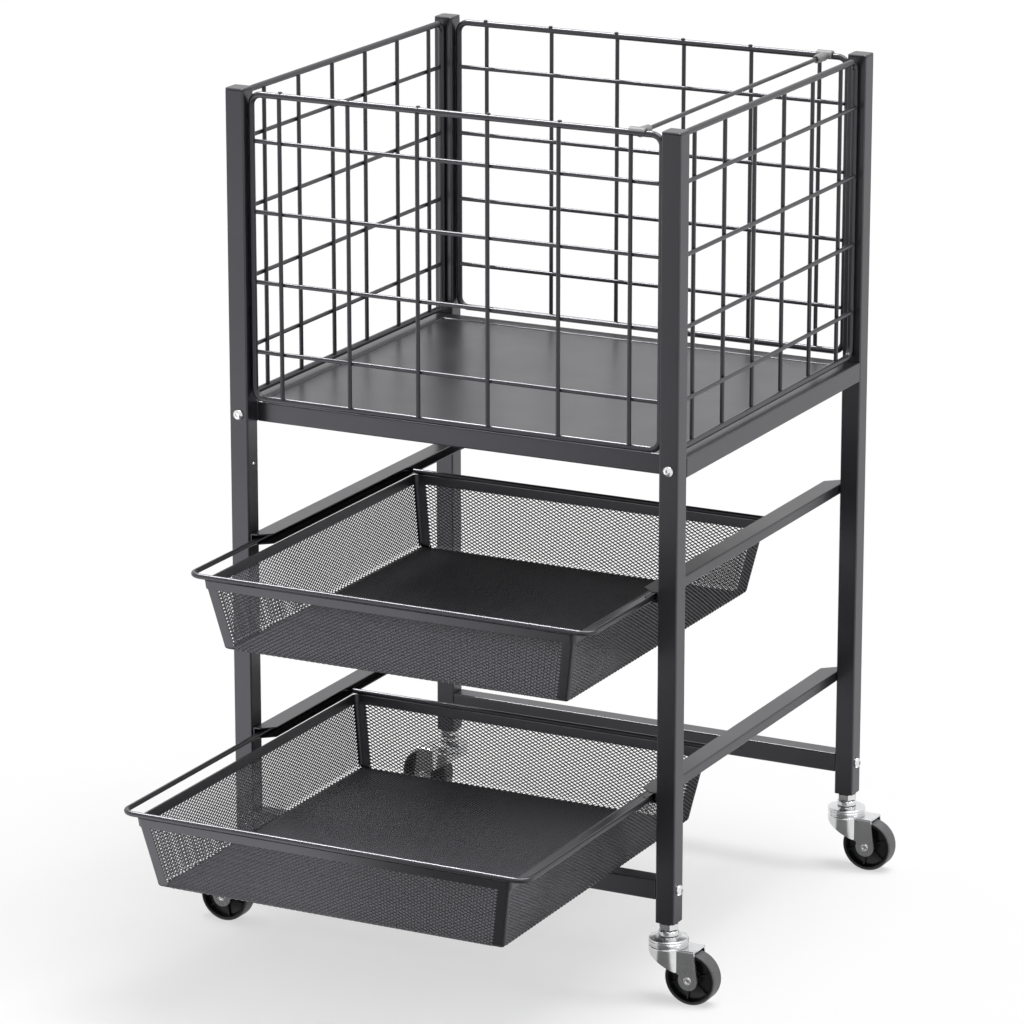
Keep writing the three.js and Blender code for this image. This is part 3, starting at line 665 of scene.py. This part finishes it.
def add_runners():
    """The runners: a thin C-section carried along Y, its flanges cut short obliquely at both ends."""
    bend = arc((0, 0), RUNNER_BEND, 0, math.pi / 2, BEND_STEPS)
    for level in ("upper", "lower"):
        for side, sign in (("left", -1), ("right", 1)):
            node = f"runner_{level}_{side}"
            low, high = span(node)
            web = high[0] if sign > 0 else low[0]
            height = high[2] - low[2]
            flange = high[0] - low[0]
            rings = []
            for along, reach in (
                (low[1], RUNNER_LAND),
                (low[1] + RUNNER_NOSE, flange),
                (high[1] - RUNNER_NOSE, flange),
                (high[1], RUNNER_LAND),
            ):
                lower = [(RUNNER_BEND - b, RUNNER_BEND - a) for a, b in bend]
                upper = [(x, height - z) for x, z in lower[::-1]]
                path = [(reach, 0), (2 * RUNNER_BEND, 0)] + lower + upper
                path += [(2 * RUNNER_BEND, height), (reach, height)]
                section = strip_outline(path, -RUNNER_SHEET)
                rings.append(np.c_[
                    web - sign * section[:, 0],
                    np.full(len(section), along),
                    low[2] + section[:, 1],
                ])
            shape = Shape()
            shape.solid(np.array(rings))
            add_piece(f"finished_{node}", node, shape, POWDER_COAT)


def expanded_sheet(shape, columns, rows, place, part=(0, 1)):
    """Expanded metal over a lattice of columns by rows. Diamonds stand on the whole steps and on
    the half steps between them. Each has a diamond hole whose upper tip leans in and whose lower
    tip leans out, and half diamonds without holes fill the edges. Only the diamonds in a part of
    the way down are made, and edges that one face alone has are closed through the sheet.
    place(across, down, depth) puts lattice points on the real surface."""
    bond_at = np.stack(np.meshgrid(np.arange(columns) + 0.5, np.arange(rows + 1)), -1)
    tip_at = np.stack(np.meshgrid(np.arange(columns + 1), np.arange(rows) + 0.5), -1)
    corner_at = np.array([[0, 0], [columns, 0], [columns, rows], [0, rows]])
    lattice = np.concatenate([bond_at.reshape(-1, 2), tip_at.reshape(-1, 2), corner_at])
    bond = np.arange(bond_at.size // 2).reshape(rows + 1, columns)
    tip = bond.size + np.arange(tip_at.size // 2).reshape(rows, columns + 1)
    corner = bond.size + tip.size + np.arange(4)
    whole = np.stack([bond[1:-1, :-1], tip[:-1, 1:-1], bond[1:-1, 1:], tip[1:, 1:-1]], -1)
    half = np.stack([tip[:, :-1], bond[:-1], tip[:, 1:], bond[1:]], -1)
    diamonds = np.concatenate([whole.reshape(-1, 4), half.reshape(-1, 4)])
    fillers = np.concatenate([
        np.stack([bond[0, :-1], bond[0, 1:], tip[0, 1:-1]], -1),
        np.stack([bond[-1, :-1], bond[-1, 1:], tip[-1, 1:-1]], -1),
        np.stack([tip[:-1, 0], tip[1:, 0], bond[1:-1, 0]], -1),
        np.stack([tip[:-1, -1], tip[1:, -1], bond[1:-1, -1]], -1),
        np.stack([corner, bond[[0, 0, -1, -1], [0, -1, -1, 0]], tip[[0, 0, -1, -1], [0, -1, -1, 0]]], -1),
    ])

    def within(faces):
        down = lattice[faces].mean(1)[:, 1] / rows
        return faces[(down >= part[0]) & (down < part[1])]

    diamonds, fillers = within(diamonds), within(fillers)
    used = np.unique(np.concatenate([diamonds.ravel(), fillers.ravel()]))
    lattice = lattice[used]
    diamonds, fillers = np.searchsorted(used, diamonds), np.searchsorted(used, fillers)
    middle = lattice[diamonds].mean(1, keepdims=True)
    inner_at = middle + DIAMOND_HOLE * (lattice[diamonds] - middle)
    inner = len(lattice) + np.arange(diamonds.size).reshape(-1, 4)
    at = np.concatenate([lattice, inner_at.reshape(-1, 2)])
    lean = np.tile([0, STRAND_LEAN, 0, -STRAND_LEAN], len(diamonds))
    lean = np.concatenate([np.zeros(len(lattice)), lean])
    first = shape.add_points(place(at[:, 0] / columns, at[:, 1] / rows, lean))
    shape.add_points(place(at[:, 0] / columns, at[:, 1] / rows, lean + STRAND_SHEET))
    behind = len(at)
    following = np.roll(diamonds, -1, axis=1)
    inner_following = np.roll(inner, -1, axis=1)
    strands = np.stack([diamonds, following, inner_following, inner], -1).reshape(-1, 4)
    holes = np.stack([inner, inner_following, inner_following + behind, inner + behind], -1).reshape(-1, 4)
    sides = np.concatenate([
        np.stack([faces, np.roll(faces, -1, axis=1)], -1).reshape(-1, 2) for faces in (diamonds, fillers)
    ])
    _, number, times = np.unique(np.sort(sides, axis=1), axis=0, return_index=True, return_counts=True)
    border = sides[number[times == 1]]
    edges = np.concatenate([border, border[:, ::-1] + behind], axis=1)
    for faces in (strands, strands[:, ::-1] + behind, holes, fillers, fillers[:, ::-1] + behind, edges):
        shape.faces += (faces + first).tolist()


def wall_path(height):
    """The tub's wall from its top down and round the base bend: a leaning line, then an arc.
    Gives the length along it, the inset, the depth below the top, and the outward angle."""
    lean = math.atan2(TUB_TAPER, height)
    turn = math.pi / 2 - lean
    tangent = TUB_BASE_BEND * math.tan(turn / 2)
    down = np.array([math.sin(lean), -math.cos(lean)])
    foot = np.array([WALL_SET_BACK + TUB_TAPER, -height])
    start = foot - down * tangent
    top = np.array([WALL_SET_BACK, 0.0]) + down * BAND_HEIGHT * 0.6
    angle = np.linspace(lean, math.pi / 2, 2 * BEND_STEPS + 1)
    out = np.stack([-np.cos(angle), -np.sin(angle)], -1)
    bend = start - out[0] * TUB_BASE_BEND + out * TUB_BASE_BEND
    points = np.concatenate([top[None], bend])
    length = np.concatenate([[0], np.cumsum(np.linalg.norm(np.diff(points, axis=0), axis=1))])
    return length, points[:, 0], points[:, 1], np.concatenate([[lean], angle])


def along_wall(path, share, depth):
    """Inset at the surface, inset at a depth in the sheet, and height, part of the way down."""
    length, inset, height, angle = path
    at = share * length[-1]
    here = np.interp(at, length, inset)
    tilt = np.interp(at, length, angle)
    return here, here + depth * np.cos(tilt), np.interp(at, length, height) + depth * np.sin(tilt)


def add_basket(level):
    """A basket: a bent rim wire, a plain band, four walls and a floor of expanded metal, and
    plain strips folded round the corners."""
    rim_node, node = f"basket_rim_{level}", f"basket_tub_{level}"
    rim_low, rim_high = span(rim_node)
    reach = RIM_WIRE / 2 * CAD_WIRE_FLAT
    rim_half = (rim_high - rim_low) / 2 - reach
    shape = Shape()
    loop = wire_loop(rim_half[0], rim_half[1], RIM_BEND, RIM_WIRE, 2)
    shape.solid(loop + (rim_low + rim_high) / 2, 0.0, loop=True)
    add_piece(f"finished_{rim_node}", rim_node, shape, POWDER_COAT)

    low, high = span(node)
    half_x, half_y, height = (high[0] - low[0]) / 2, (high[1] - low[1]) / 2, high[2] - low[2]
    middle = np.array([(low[0] + high[0]) / 2, (low[1] + high[1]) / 2, high[2]])
    path = wall_path(height)

    shape = Shape()
    ease = BAND_EASE
    wall_inside = WALL_SET_BACK + TUB_TAPER * BAND_HEIGHT / height + 1.7 * TUB_SHEET
    section = [
        (BAND_LEAN + ease, -BAND_HEIGHT),
        (BAND_LEAN, -BAND_HEIGHT + ease),
        (0, -ease),
        (ease, 0),
        (BAND_SHEET + WALL_SET_BACK - ease, 0),
        (BAND_SHEET + WALL_SET_BACK, -ease),
        (wall_inside, -BAND_HEIGHT + ease),
        (wall_inside - ease, -BAND_HEIGHT),
    ]
    rings = []
    for inset, rise in section:
        bend = max(TUB_CORNER - inset, 0.4 * MM) + TUB_CORNER
        outline, _ = rounded_outline(half_x - inset, half_y - inset, bend)
        rings.append(np.c_[outline, np.full(len(outline), rise)])
    shape.solid(np.array(rings) + middle, 0.0, loop=True)
    down = np.union1d(np.linspace(0, 1, 2 * BEND_STEPS), path[0] / path[0][-1])[:, None]
    corner_bend = np.interp(down, [0, 0.9, 1], [TUB_CORNER, TUB_CORNER, TUB_CORNER_FOOT])
    fold = np.linspace(math.pi / 2, 0, BEND_STEPS + 1)
    for sign_x in (-1, 1):
        for sign_y in (-1, 1):
            sides = []
            for depth in (0.0, TUB_SHEET):
                inset, deep_inset, rise = along_wall(path, down, depth)
                sunk = deep_inset - inset
                bend = corner_bend - sunk
                centre_x = half_x - inset - corner_bend
                centre_y = half_y - inset - corner_bend
                x = centre_x + bend * np.cos(fold)
                y = centre_y + bend * np.sin(fold)
                flat_x = half_x - inset - STRIP_WIDTH
                x = np.hstack([flat_x, x])
                y = np.hstack([centre_y + bend, y])
                sides.append(np.stack([sign_x * x, sign_y * y, np.broadcast_to(rise, x.shape)], -1))
            shape.solid(np.concatenate([sides[0], sides[1][:, ::-1]], 1) + middle)
    add_piece(f"finished_{node}", node, shape, POWDER_COAT)

    rows = round(path[0][-1] / DIAMOND_HIGH)
    for name, axis, sign, wide, strip in (
        ("front", 0, -1, half_x, STRIP_WIDTH),
        ("rear", 0, 1, half_x, STRIP_WIDTH),
        ("left", 1, -1, half_y, TUB_CORNER),
        ("right", 1, 1, half_y, TUB_CORNER),
    ):
        columns = round(2 * (wide - TUB_TAPER / 2 - strip) / DIAMOND_WIDE)
        other = half_y if axis == 0 else half_x

        def on_wall(across, share, depth):
            inset, deep_inset, rise = along_wall(path, share, depth)
            along = (2 * across - 1) * (wide - inset - strip)
            out = sign * (other - deep_inset)
            return np.stack([along, out, rise] if axis == 0 else [out, along, rise], -1) + middle

        shape = Shape()
        expanded_sheet(shape, columns, rows, on_wall)
        add_piece(f"mesh_{name}_{level}", node, shape, POWDER_COAT, smooth=False)

    floor_x, floor_y = half_x - path[1][-1], half_y - path[1][-1]
    columns = round(2 * floor_x / DIAMOND_WIDE)
    rows = round(2 * floor_y / DIAMOND_HIGH)

    def on_floor(across, share, depth):
        return np.stack([(2 * across - 1) * floor_x, (2 * share - 1) * floor_y, depth - height], -1) + middle

    for name, part in (("front", (0, 0.5)), ("rear", (0.5, 1))):
        shape = Shape()
        expanded_sheet(shape, columns, rows, on_floor, part)
        add_piece(f"mesh_floor_{name}_{level}", node, shape, POWDER_COAT, smooth=False)


def caster_place(points, corner):
    """Turns a caster's points to trail outwards and puts its swivel under the post."""
    sign = side_of[corner]
    middle = post_middle[corner]
    return points * np.array([sign, sign, 1]) + np.array([middle[0], middle[1], 0])


def stem_shape(corner):
    """The stem: a collar and a hexagon with eased edges, and the pin that goes into the post."""
    low, high = span(f"caster_stem_{corner}")
    cup_top = span(f"caster_cup_{corner}")[1][2]
    collar = COLLAR_DIAMETER / 2
    base = cup_top + CUP_GAP
    hex_base = cup_top + COLLAR_HEIGHT
    hex_top = hex_base + HEX_HEIGHT
    shape = Shape()
    shape.solid(caster_place(turned([
        (0, base),
        (collar - HEX_EASE, base),
        (collar, base + HEX_EASE),
        (collar, hex_base - 2 * HEX_EASE),
        (collar - HEX_EASE, hex_base - HEX_EASE),
        (STEM_DIAMETER / 2, hex_base - HEX_EASE),
        (STEM_DIAMETER / 2, hex_base + HEX_EASE),
        (0, hex_base + HEX_EASE),
    ]), corner))
    angle = 2 * math.pi * np.arange(TURNED_SIDES) / TURNED_SIDES
    flats = HEX_FLATS / 2 / np.cos(np.mod(angle, math.pi / 3) - math.pi / 6)
    round_edge = np.minimum(flats, HEX_FLATS / 2 * 1.06)
    shape.solid(caster_place(turned([
        (0, hex_base),
        (round_edge - HEX_EASE, hex_base),
        (flats, hex_base + HEX_EASE),
        (flats, hex_top - HEX_EASE),
        (round_edge - HEX_EASE, hex_top),
        (STEM_DIAMETER / 2, hex_top),
        (STEM_DIAMETER / 2, high[2] - MM),
        (STEM_DIAMETER / 2 - MM, high[2]),
        (0, high[2]),
    ]), corner))
    return shape


def cup_shape(corner):
    """The bearing cup: a rolled edge, a groove, a sloping shoulder and a flat crown."""
    low, high = span(f"caster_cup_{corner}")
    race = RACE_DIAMETER / 2
    groove = low[2] + 0.42 * (high[2] - low[2])
    shoulder = high[2] - CUP_SHOULDER
    profile = [(STEM_DIAMETER / 2, low[2]), (race - 0.6 * MM, low[2])]
    profile += arc((race - 0.6 * MM, low[2] + 0.6 * MM), 0.6 * MM, -math.pi / 2, 0, BEND_STEPS)
    profile += [
        (race, groove - CUP_GROOVE),
        (race - CUP_GROOVE, groove - 0.2 * CUP_GROOVE),
        (race - CUP_GROOVE, groove + 0.2 * CUP_GROOVE),
        (race, groove + CUP_GROOVE),
    ]
    profile += arc((race - MM, shoulder - MM), MM, 0, math.pi * 0.42, BEND_STEPS)
    profile += [
        (CUP_CROWN / 2 + 0.5 * MM, high[2] - 0.1 * MM),
        (CUP_CROWN / 2 - 0.5 * MM, high[2]),
        (STEM_DIAMETER / 2, high[2]),
    ]
    shape = Shape()
    shape.solid(caster_place(turned(profile), corner), 0.0, loop=True)
    return shape


def fork_skin():
    """The fork's outer skin, half by half. Each column of points starts on the top plate, goes
    round the bend and down the wall to the lower edge: a slanted plane round the front, then the
    round end of the leg. Seen from above the columns follow an arc and a straight side. A column
    whose foot lies further forward swings there only at its end, so that no columns cross."""
    race = RACE_DIAMETER / 2
    meet = math.asin(LEG_OUTSIDE / race)
    axle_z = WHEEL_DIAMETER / 2
    turn = np.linspace(math.pi, meet, 4 * BEND_STEPS + 1)
    front = np.stack([race * np.cos(turn), race * np.sin(turn)], -1)
    leg_steps = 5 * BEND_STEPS
    neck_x = TRAIL + LEG_END * math.cos(LEG_NECK)
    neck_z = axle_z + LEG_END * math.sin(LEG_NECK)
    top_x = np.linspace(neck_x, TRAIL + FORK_REAR, leg_steps + 1)
    leg = np.stack([top_x, np.full(leg_steps + 1, LEG_OUTSIDE)], -1)
    plan = np.concatenate([front, leg])
    out = np.concatenate([
        np.stack([np.cos(turn), np.sin(turn)], -1),
        np.broadcast_to([0.0, 1.0], leg.shape),
    ])
    slope = (neck_z - (PLATE_TOP - FORK_LIP)) / (neck_x + race)
    slant_z = PLATE_TOP - FORK_LIP + slope * (front[:, 0] + race)
    circle = np.linspace(LEG_NECK, 2 * math.pi, leg_steps + 1)
    foot_x = np.concatenate([front[:, 0], TRAIL + LEG_END * np.cos(circle)])
    foot_z = np.concatenate([slant_z, axle_z + LEG_END * np.sin(circle)])
    bend = np.linspace(0, math.pi / 2, BEND_STEPS + 1)
    rows = []
    for angle in bend:
        inset = FORK_BEND * (1 - math.sin(angle))
        rows.append(np.c_[plan - out * inset, np.full(len(plan), PLATE_TOP - FORK_BEND * (1 - math.cos(angle)))])
    bend_z = PLATE_TOP - FORK_BEND
    swing = np.where(foot_x < plan[:, 0], LEG_SWING, 1)
    for share in np.linspace(0, 1, 2 * BEND_STEPS + 1)[1:]:
        x = plan[:, 0] + share ** swing * (foot_x - plan[:, 0])
        z = bend_z + share * (np.minimum(foot_z, bend_z - 0.2 * MM) - bend_z)
        rows.append(np.c_[x, plan[:, 1], z])
    return np.array(rows)


def add_fork(corner):
    """The fork: its skin on both sides of the middle, given thickness, and the raceway on top."""
    node = f"caster_fork_{corner}"
    half = fork_skin()
    mirrored = half[:, ::-1] * np.array([1, -1, 1])
    skin = np.concatenate([mirrored, half[:, 1:]], 1)
    rows, columns = skin.shape[:2]
    number = np.arange(rows * columns).reshape(rows, columns)
    quads = [number[:-1, :-1], number[:-1, 1:], number[1:, 1:], number[1:, :-1]]
    shape = Shape()
    shape.add_points(caster_place(skin, corner))
    shape.faces = np.stack(quads, -1).reshape(-1, 4).tolist() + [number[0, ::-1].tolist()]
    fork = add_piece(f"finished_{node}", node, shape, ZINC)
    fork.modifiers.clear()
    sheet = fork.modifiers.new("sheet", "SOLIDIFY")
    sheet.thickness = FORK_SHEET
    sheet.offset = -1
    edges = fork.modifiers.new("edges", "BEVEL")
    edges.width = 0.25 * MM
    edges.segments = 2
    edges.limit_method = "ANGLE"
    edges.angle_limit = math.radians(50)
    fork.modifiers.new("even_flats", "WEIGHTED_NORMAL").keep_sharp = True
    race = RACE_DIAMETER / 2 - RACE_STEP
    shape = Shape()
    shape.solid(caster_place(turned([
        (STEM_DIAMETER / 2, PLATE_TOP + 0.02 * MM),
        (race, PLATE_TOP + 0.02 * MM),
        (race, PLATE_TOP + RACE_HEIGHT - 0.4 * MM),
        (race - 0.4 * MM, PLATE_TOP + RACE_HEIGHT),
        (STEM_DIAMETER / 2, PLATE_TOP + RACE_HEIGHT),
    ]), corner), 0.0, loop=True)
    add_piece(f"raceway_{corner}", node, shape, ZINC)


def axle_shape(corner):
    """The axle: a pin whose ends are rolled into hollow rivet heads."""
    low, high = span(f"caster_axle_{corner}")
    half = (high[1] - low[1]) / 2
    roll = RIVET_PROUD / 2
    ring = (RIVET_HEAD - RIVET_HOLE) / 4
    end = [(0, half - RIVET_DEPTH), (RIVET_HOLE / 2, half - RIVET_DEPTH), (RIVET_HOLE / 2, half - roll)]
    for angle in np.linspace(math.pi, 0, 2 * BEND_STEPS + 1):
        end.append((RIVET_HOLE / 2 + ring + ring * math.cos(angle), half - roll + roll * math.sin(angle)))
    end += [(RIVET_HEAD / 2, half - 2 * roll), (AXLE_DIAMETER / 2, half - 2 * roll)]
    profile = [(radius, -height) for radius, height in end] + end[::-1]
    place = np.array([TRAIL, 0, WHEEL_DIAMETER / 2])
    shape = Shape()
    shape.solid(caster_place(turned(profile, 1) + place, corner))
    return shape


def wheel_shape(corner):
    """The wheel: a rounded tread, a rim with an eased lip, a dished web with radial ribs, a hub."""
    radius, half = WHEEL_DIAMETER / 2, WHEEL_WIDTH / 2
    hub, bore = HUB_DIAMETER / 2, AXLE_DIAMETER / 2 + 0.3 * MM
    inside = radius - WHEEL_RIM
    face = arc((radius - WHEEL_ROUND, half - WHEEL_ROUND), WHEEL_ROUND, 0, math.pi / 2, BEND_STEPS)
    face += [
        (inside + 0.5 * MM, half),
        (inside, half - 0.5 * MM),
        (inside - 0.8 * MM, WHEEL_WEB / 2 + 0.8 * MM),
        (inside - 1.6 * MM, WHEEL_WEB / 2),
        (hub + 1.6 * MM, WHEEL_WEB / 2),
        (hub + 0.6 * MM, WHEEL_WEB / 2 + MM),
        (hub, half + HUB_PROUD - 0.5 * MM),
        (hub - 0.5 * MM, half + HUB_PROUD),
        (bore, half + HUB_PROUD),
    ]
    profile = [(r, -h) for r, h in face][::-1] + face
    # The tread's points are marked for the grey tread: scuffing and a painted sheen.
    worn_and_sheen = [1.0 if r > radius - 0.7 * WHEEL_ROUND else 0.0 for r, _ in profile]
    place = np.array([TRAIL, 0, radius])
    shape = Shape()
    wear_and_sheen = np.array(worn_and_sheen + worn_and_sheen[:1])[:, None]
    shape.solid(caster_place(turned(profile, 1, 2 * TURNED_SIDES) + place, corner), wear_and_sheen, loop=True)
    for number in range(WHEEL_RIBS):
        turn = 2 * math.pi * number / WHEEL_RIBS + 0.35
        for sign in (-1, 1):
            top, low = sign * (half - RIB_SET_BACK), sign * (WHEEL_WEB / 2 - 0.3 * MM)
            edge = RIB_SHEET / 2
            section = np.array([[-edge * 1.5, low], [-edge, top], [edge, top], [edge * 1.5, low]])
            rings = np.array([
                np.c_[np.full(4, reach), section[:, 1], section[:, 0]]
                for reach in (hub - 0.2 * MM, inside + 0.2 * MM)
            ])
            across = rings[..., 0] * math.cos(turn) - rings[..., 2] * math.sin(turn)
            rise = rings[..., 0] * math.sin(turn) + rings[..., 2] * math.cos(turn)
            shape.solid(caster_place(np.stack([across, rings[..., 1], rise], -1) + place, corner))
    return shape


def add_casters():
    """Four casters, each trailing outwards from its post."""
    for corner in CORNERS:
        for part, made, material, slot in (
            ("stem", stem_shape(corner), ZINC, "zinc"),
            ("cup", cup_shape(corner), ZINC, "zinc"),
            ("axle", axle_shape(corner), ZINC, "zinc"),
            ("wheel", wheel_shape(corner), WHEEL_PLASTIC, "wheel_plastic"),
        ):
            node = f"caster_{part}_{corner}"
            add_piece(f"finished_{node}", node, made, material)
        add_fork(corner)


def add_floor():
    """A pale floor that keeps the cart's shadow and shows white to the camera and in metal."""
    mesh = bpy.data.meshes.new("floor")
    reach = FLOOR_REACH
    mesh.from_pydata(
        [(-reach, -reach, 0), (reach, -reach, 0), (reach, reach, 0), (-reach, reach, 0)],
        [],
        [(0, 1, 2, 3)],
    )
    material, finish = new_finish("pale_floor")
    finish.shader(Base_Color=(0.92, 0.92, 0.92, 1), Roughness=0.9, Specular_IOR_Level=0.1)
    rays = finish.node("LightPath", None, None, "Is Camera Ray")
    rays = rays + finish.node("LightPath", None, None, "Is Glossy Ray")
    rays = rays + finish.node("LightPath", None, None, "Is Transmission Ray")
    glow = finish.node("Emission", None, {"Color": (1, 1, 1, 1), "Strength": 1.0})
    matte = Link(finish, finish.tree.nodes["Principled BSDF"].outputs[0])
    shown = finish.node("MixShader", None, {0: rays * 0.6, 1: matte, 2: glow})
    finish.feed(finish.tree.nodes["Material Output"].inputs["Surface"], shown)
    material.cycles.emission_sampling = "NONE"
    mesh.materials.append(material)
    floor = bpy.data.objects.new("floor", mesh)
    bpy.context.scene.collection.objects.link(floor)


def add_card(name, outlines, tone):
    """Cards on the floor that only gloss shows. Each outline has four corners on the floor."""
    outline = np.reshape(outlines, (-1, 2))
    points = np.c_[outline, np.full(len(outline), CARD_RISE)]
    mesh = bpy.data.meshes.new(name)
    mesh.from_pydata(points.tolist(), [], np.arange(len(points)).reshape(-1, 4).tolist())
    material, finish = new_finish(name)
    finish.shader(Base_Color=(0, 0, 0, 1), Emission_Color=(1, 1, 1, 1), Emission_Strength=tone)
    finish.shader(Roughness=1.0, Specular_IOR_Level=0.0)
    material.cycles.emission_sampling = "NONE"
    mesh.materials.append(material)
    card = bpy.data.objects.new(name, mesh)
    card.visible_camera = False
    card.visible_diffuse = False
    card.visible_shadow = False
    bpy.context.scene.collection.objects.link(card)


def add_cards():
    """A dark card before the cart, a bright one to the left of it, and a dark one before each
    caster, to give the gloss some contrast."""
    shift = np.array([[(side_of[corner] - 1) * TRAIL, 0] for corner in CORNERS])
    middle = np.array([post_middle[corner][:2] for corner in CORNERS])
    add_card("caster_cards", np.array(CARD_OUTLINE) + (middle + shift)[:, None], CARD_TONE)
    add_card("front_card", FRONT_CARD, FRONT_TONE)
    add_card("left_card", LEFT_CARD, LEFT_TONE)


def add_lamp(name, kind, energy, turn, **settings):
    """A lamp, aimed by its turn about X and Z. Gives its object."""
    lamp = bpy.data.lights.new(name, kind)
    lamp.energy = energy
    for key, value in settings.items():
        setattr(lamp, key, value)
    holder = bpy.data.objects.new(name, lamp)
    holder.rotation_euler = (math.radians(turn[0]), 0, math.radians(turn[1]))
    bpy.context.scene.collection.objects.link(holder)
    return holder


def add_light():
    """A broad overhead light leaning to the right and rear, a small accent in it, a light from the
    left that only shows in the gloss, and an even sky."""
    add_lamp("overhead", "SUN", 2.34, (10, 118), angle=math.radians(36))
    add_lamp("accent", "SUN", 0.5, (30, 118), angle=math.radians(16))
    gleam = add_lamp("gleam", "SUN", 3.5, (30, -118), angle=math.radians(12))
    gleam.visible_diffuse = False
    world = bpy.data.worlds.new("studio")
    world.cycles.sampling_method = "NONE"
    bpy.context.scene.world = world
    finish = Finish(world)
    rays = finish.node("LightPath", None, None, "Is Camera Ray")
    rays = rays + finish.node("LightPath", None, None, "Is Glossy Ray")
    rays = rays + finish.node("LightPath", None, None, "Is Transmission Ray")
    sky = finish.tree.nodes["Background"]
    finish.feed(sky.inputs["Color"], (1, 1, 1, 1))
    finish.feed(sky.inputs["Strength"], finish.between(0.22, 1.0, rays))


def add_camera():
    """The camera at the photograph's viewing angle."""
    camera = bpy.data.cameras.new("camera")
    camera.lens = CAMERA_LENS
    holder = bpy.data.objects.new("camera", camera)
    holder.location = CAMERA_PLACE
    holder.rotation_euler = (math.pi / 2 - CAMERA_TILT, 0, CAMERA_TURN)
    bpy.context.scene.collection.objects.link(holder)
    bpy.context.scene.camera = holder


add_tubes()
add_bolts()
add_shelf()
add_grid("front", 0, True)
add_grid("rear", 0, True)
add_grid("left", 1, False)
add_grid("right", 1, False)
add_hanging_rail()
add_runners()
add_basket("upper")
add_basket("lower")
add_casters()
add_floor()
add_cards()
add_light()
add_camera()
bpy.context.scene.view_settings.view_transform = "Standard"
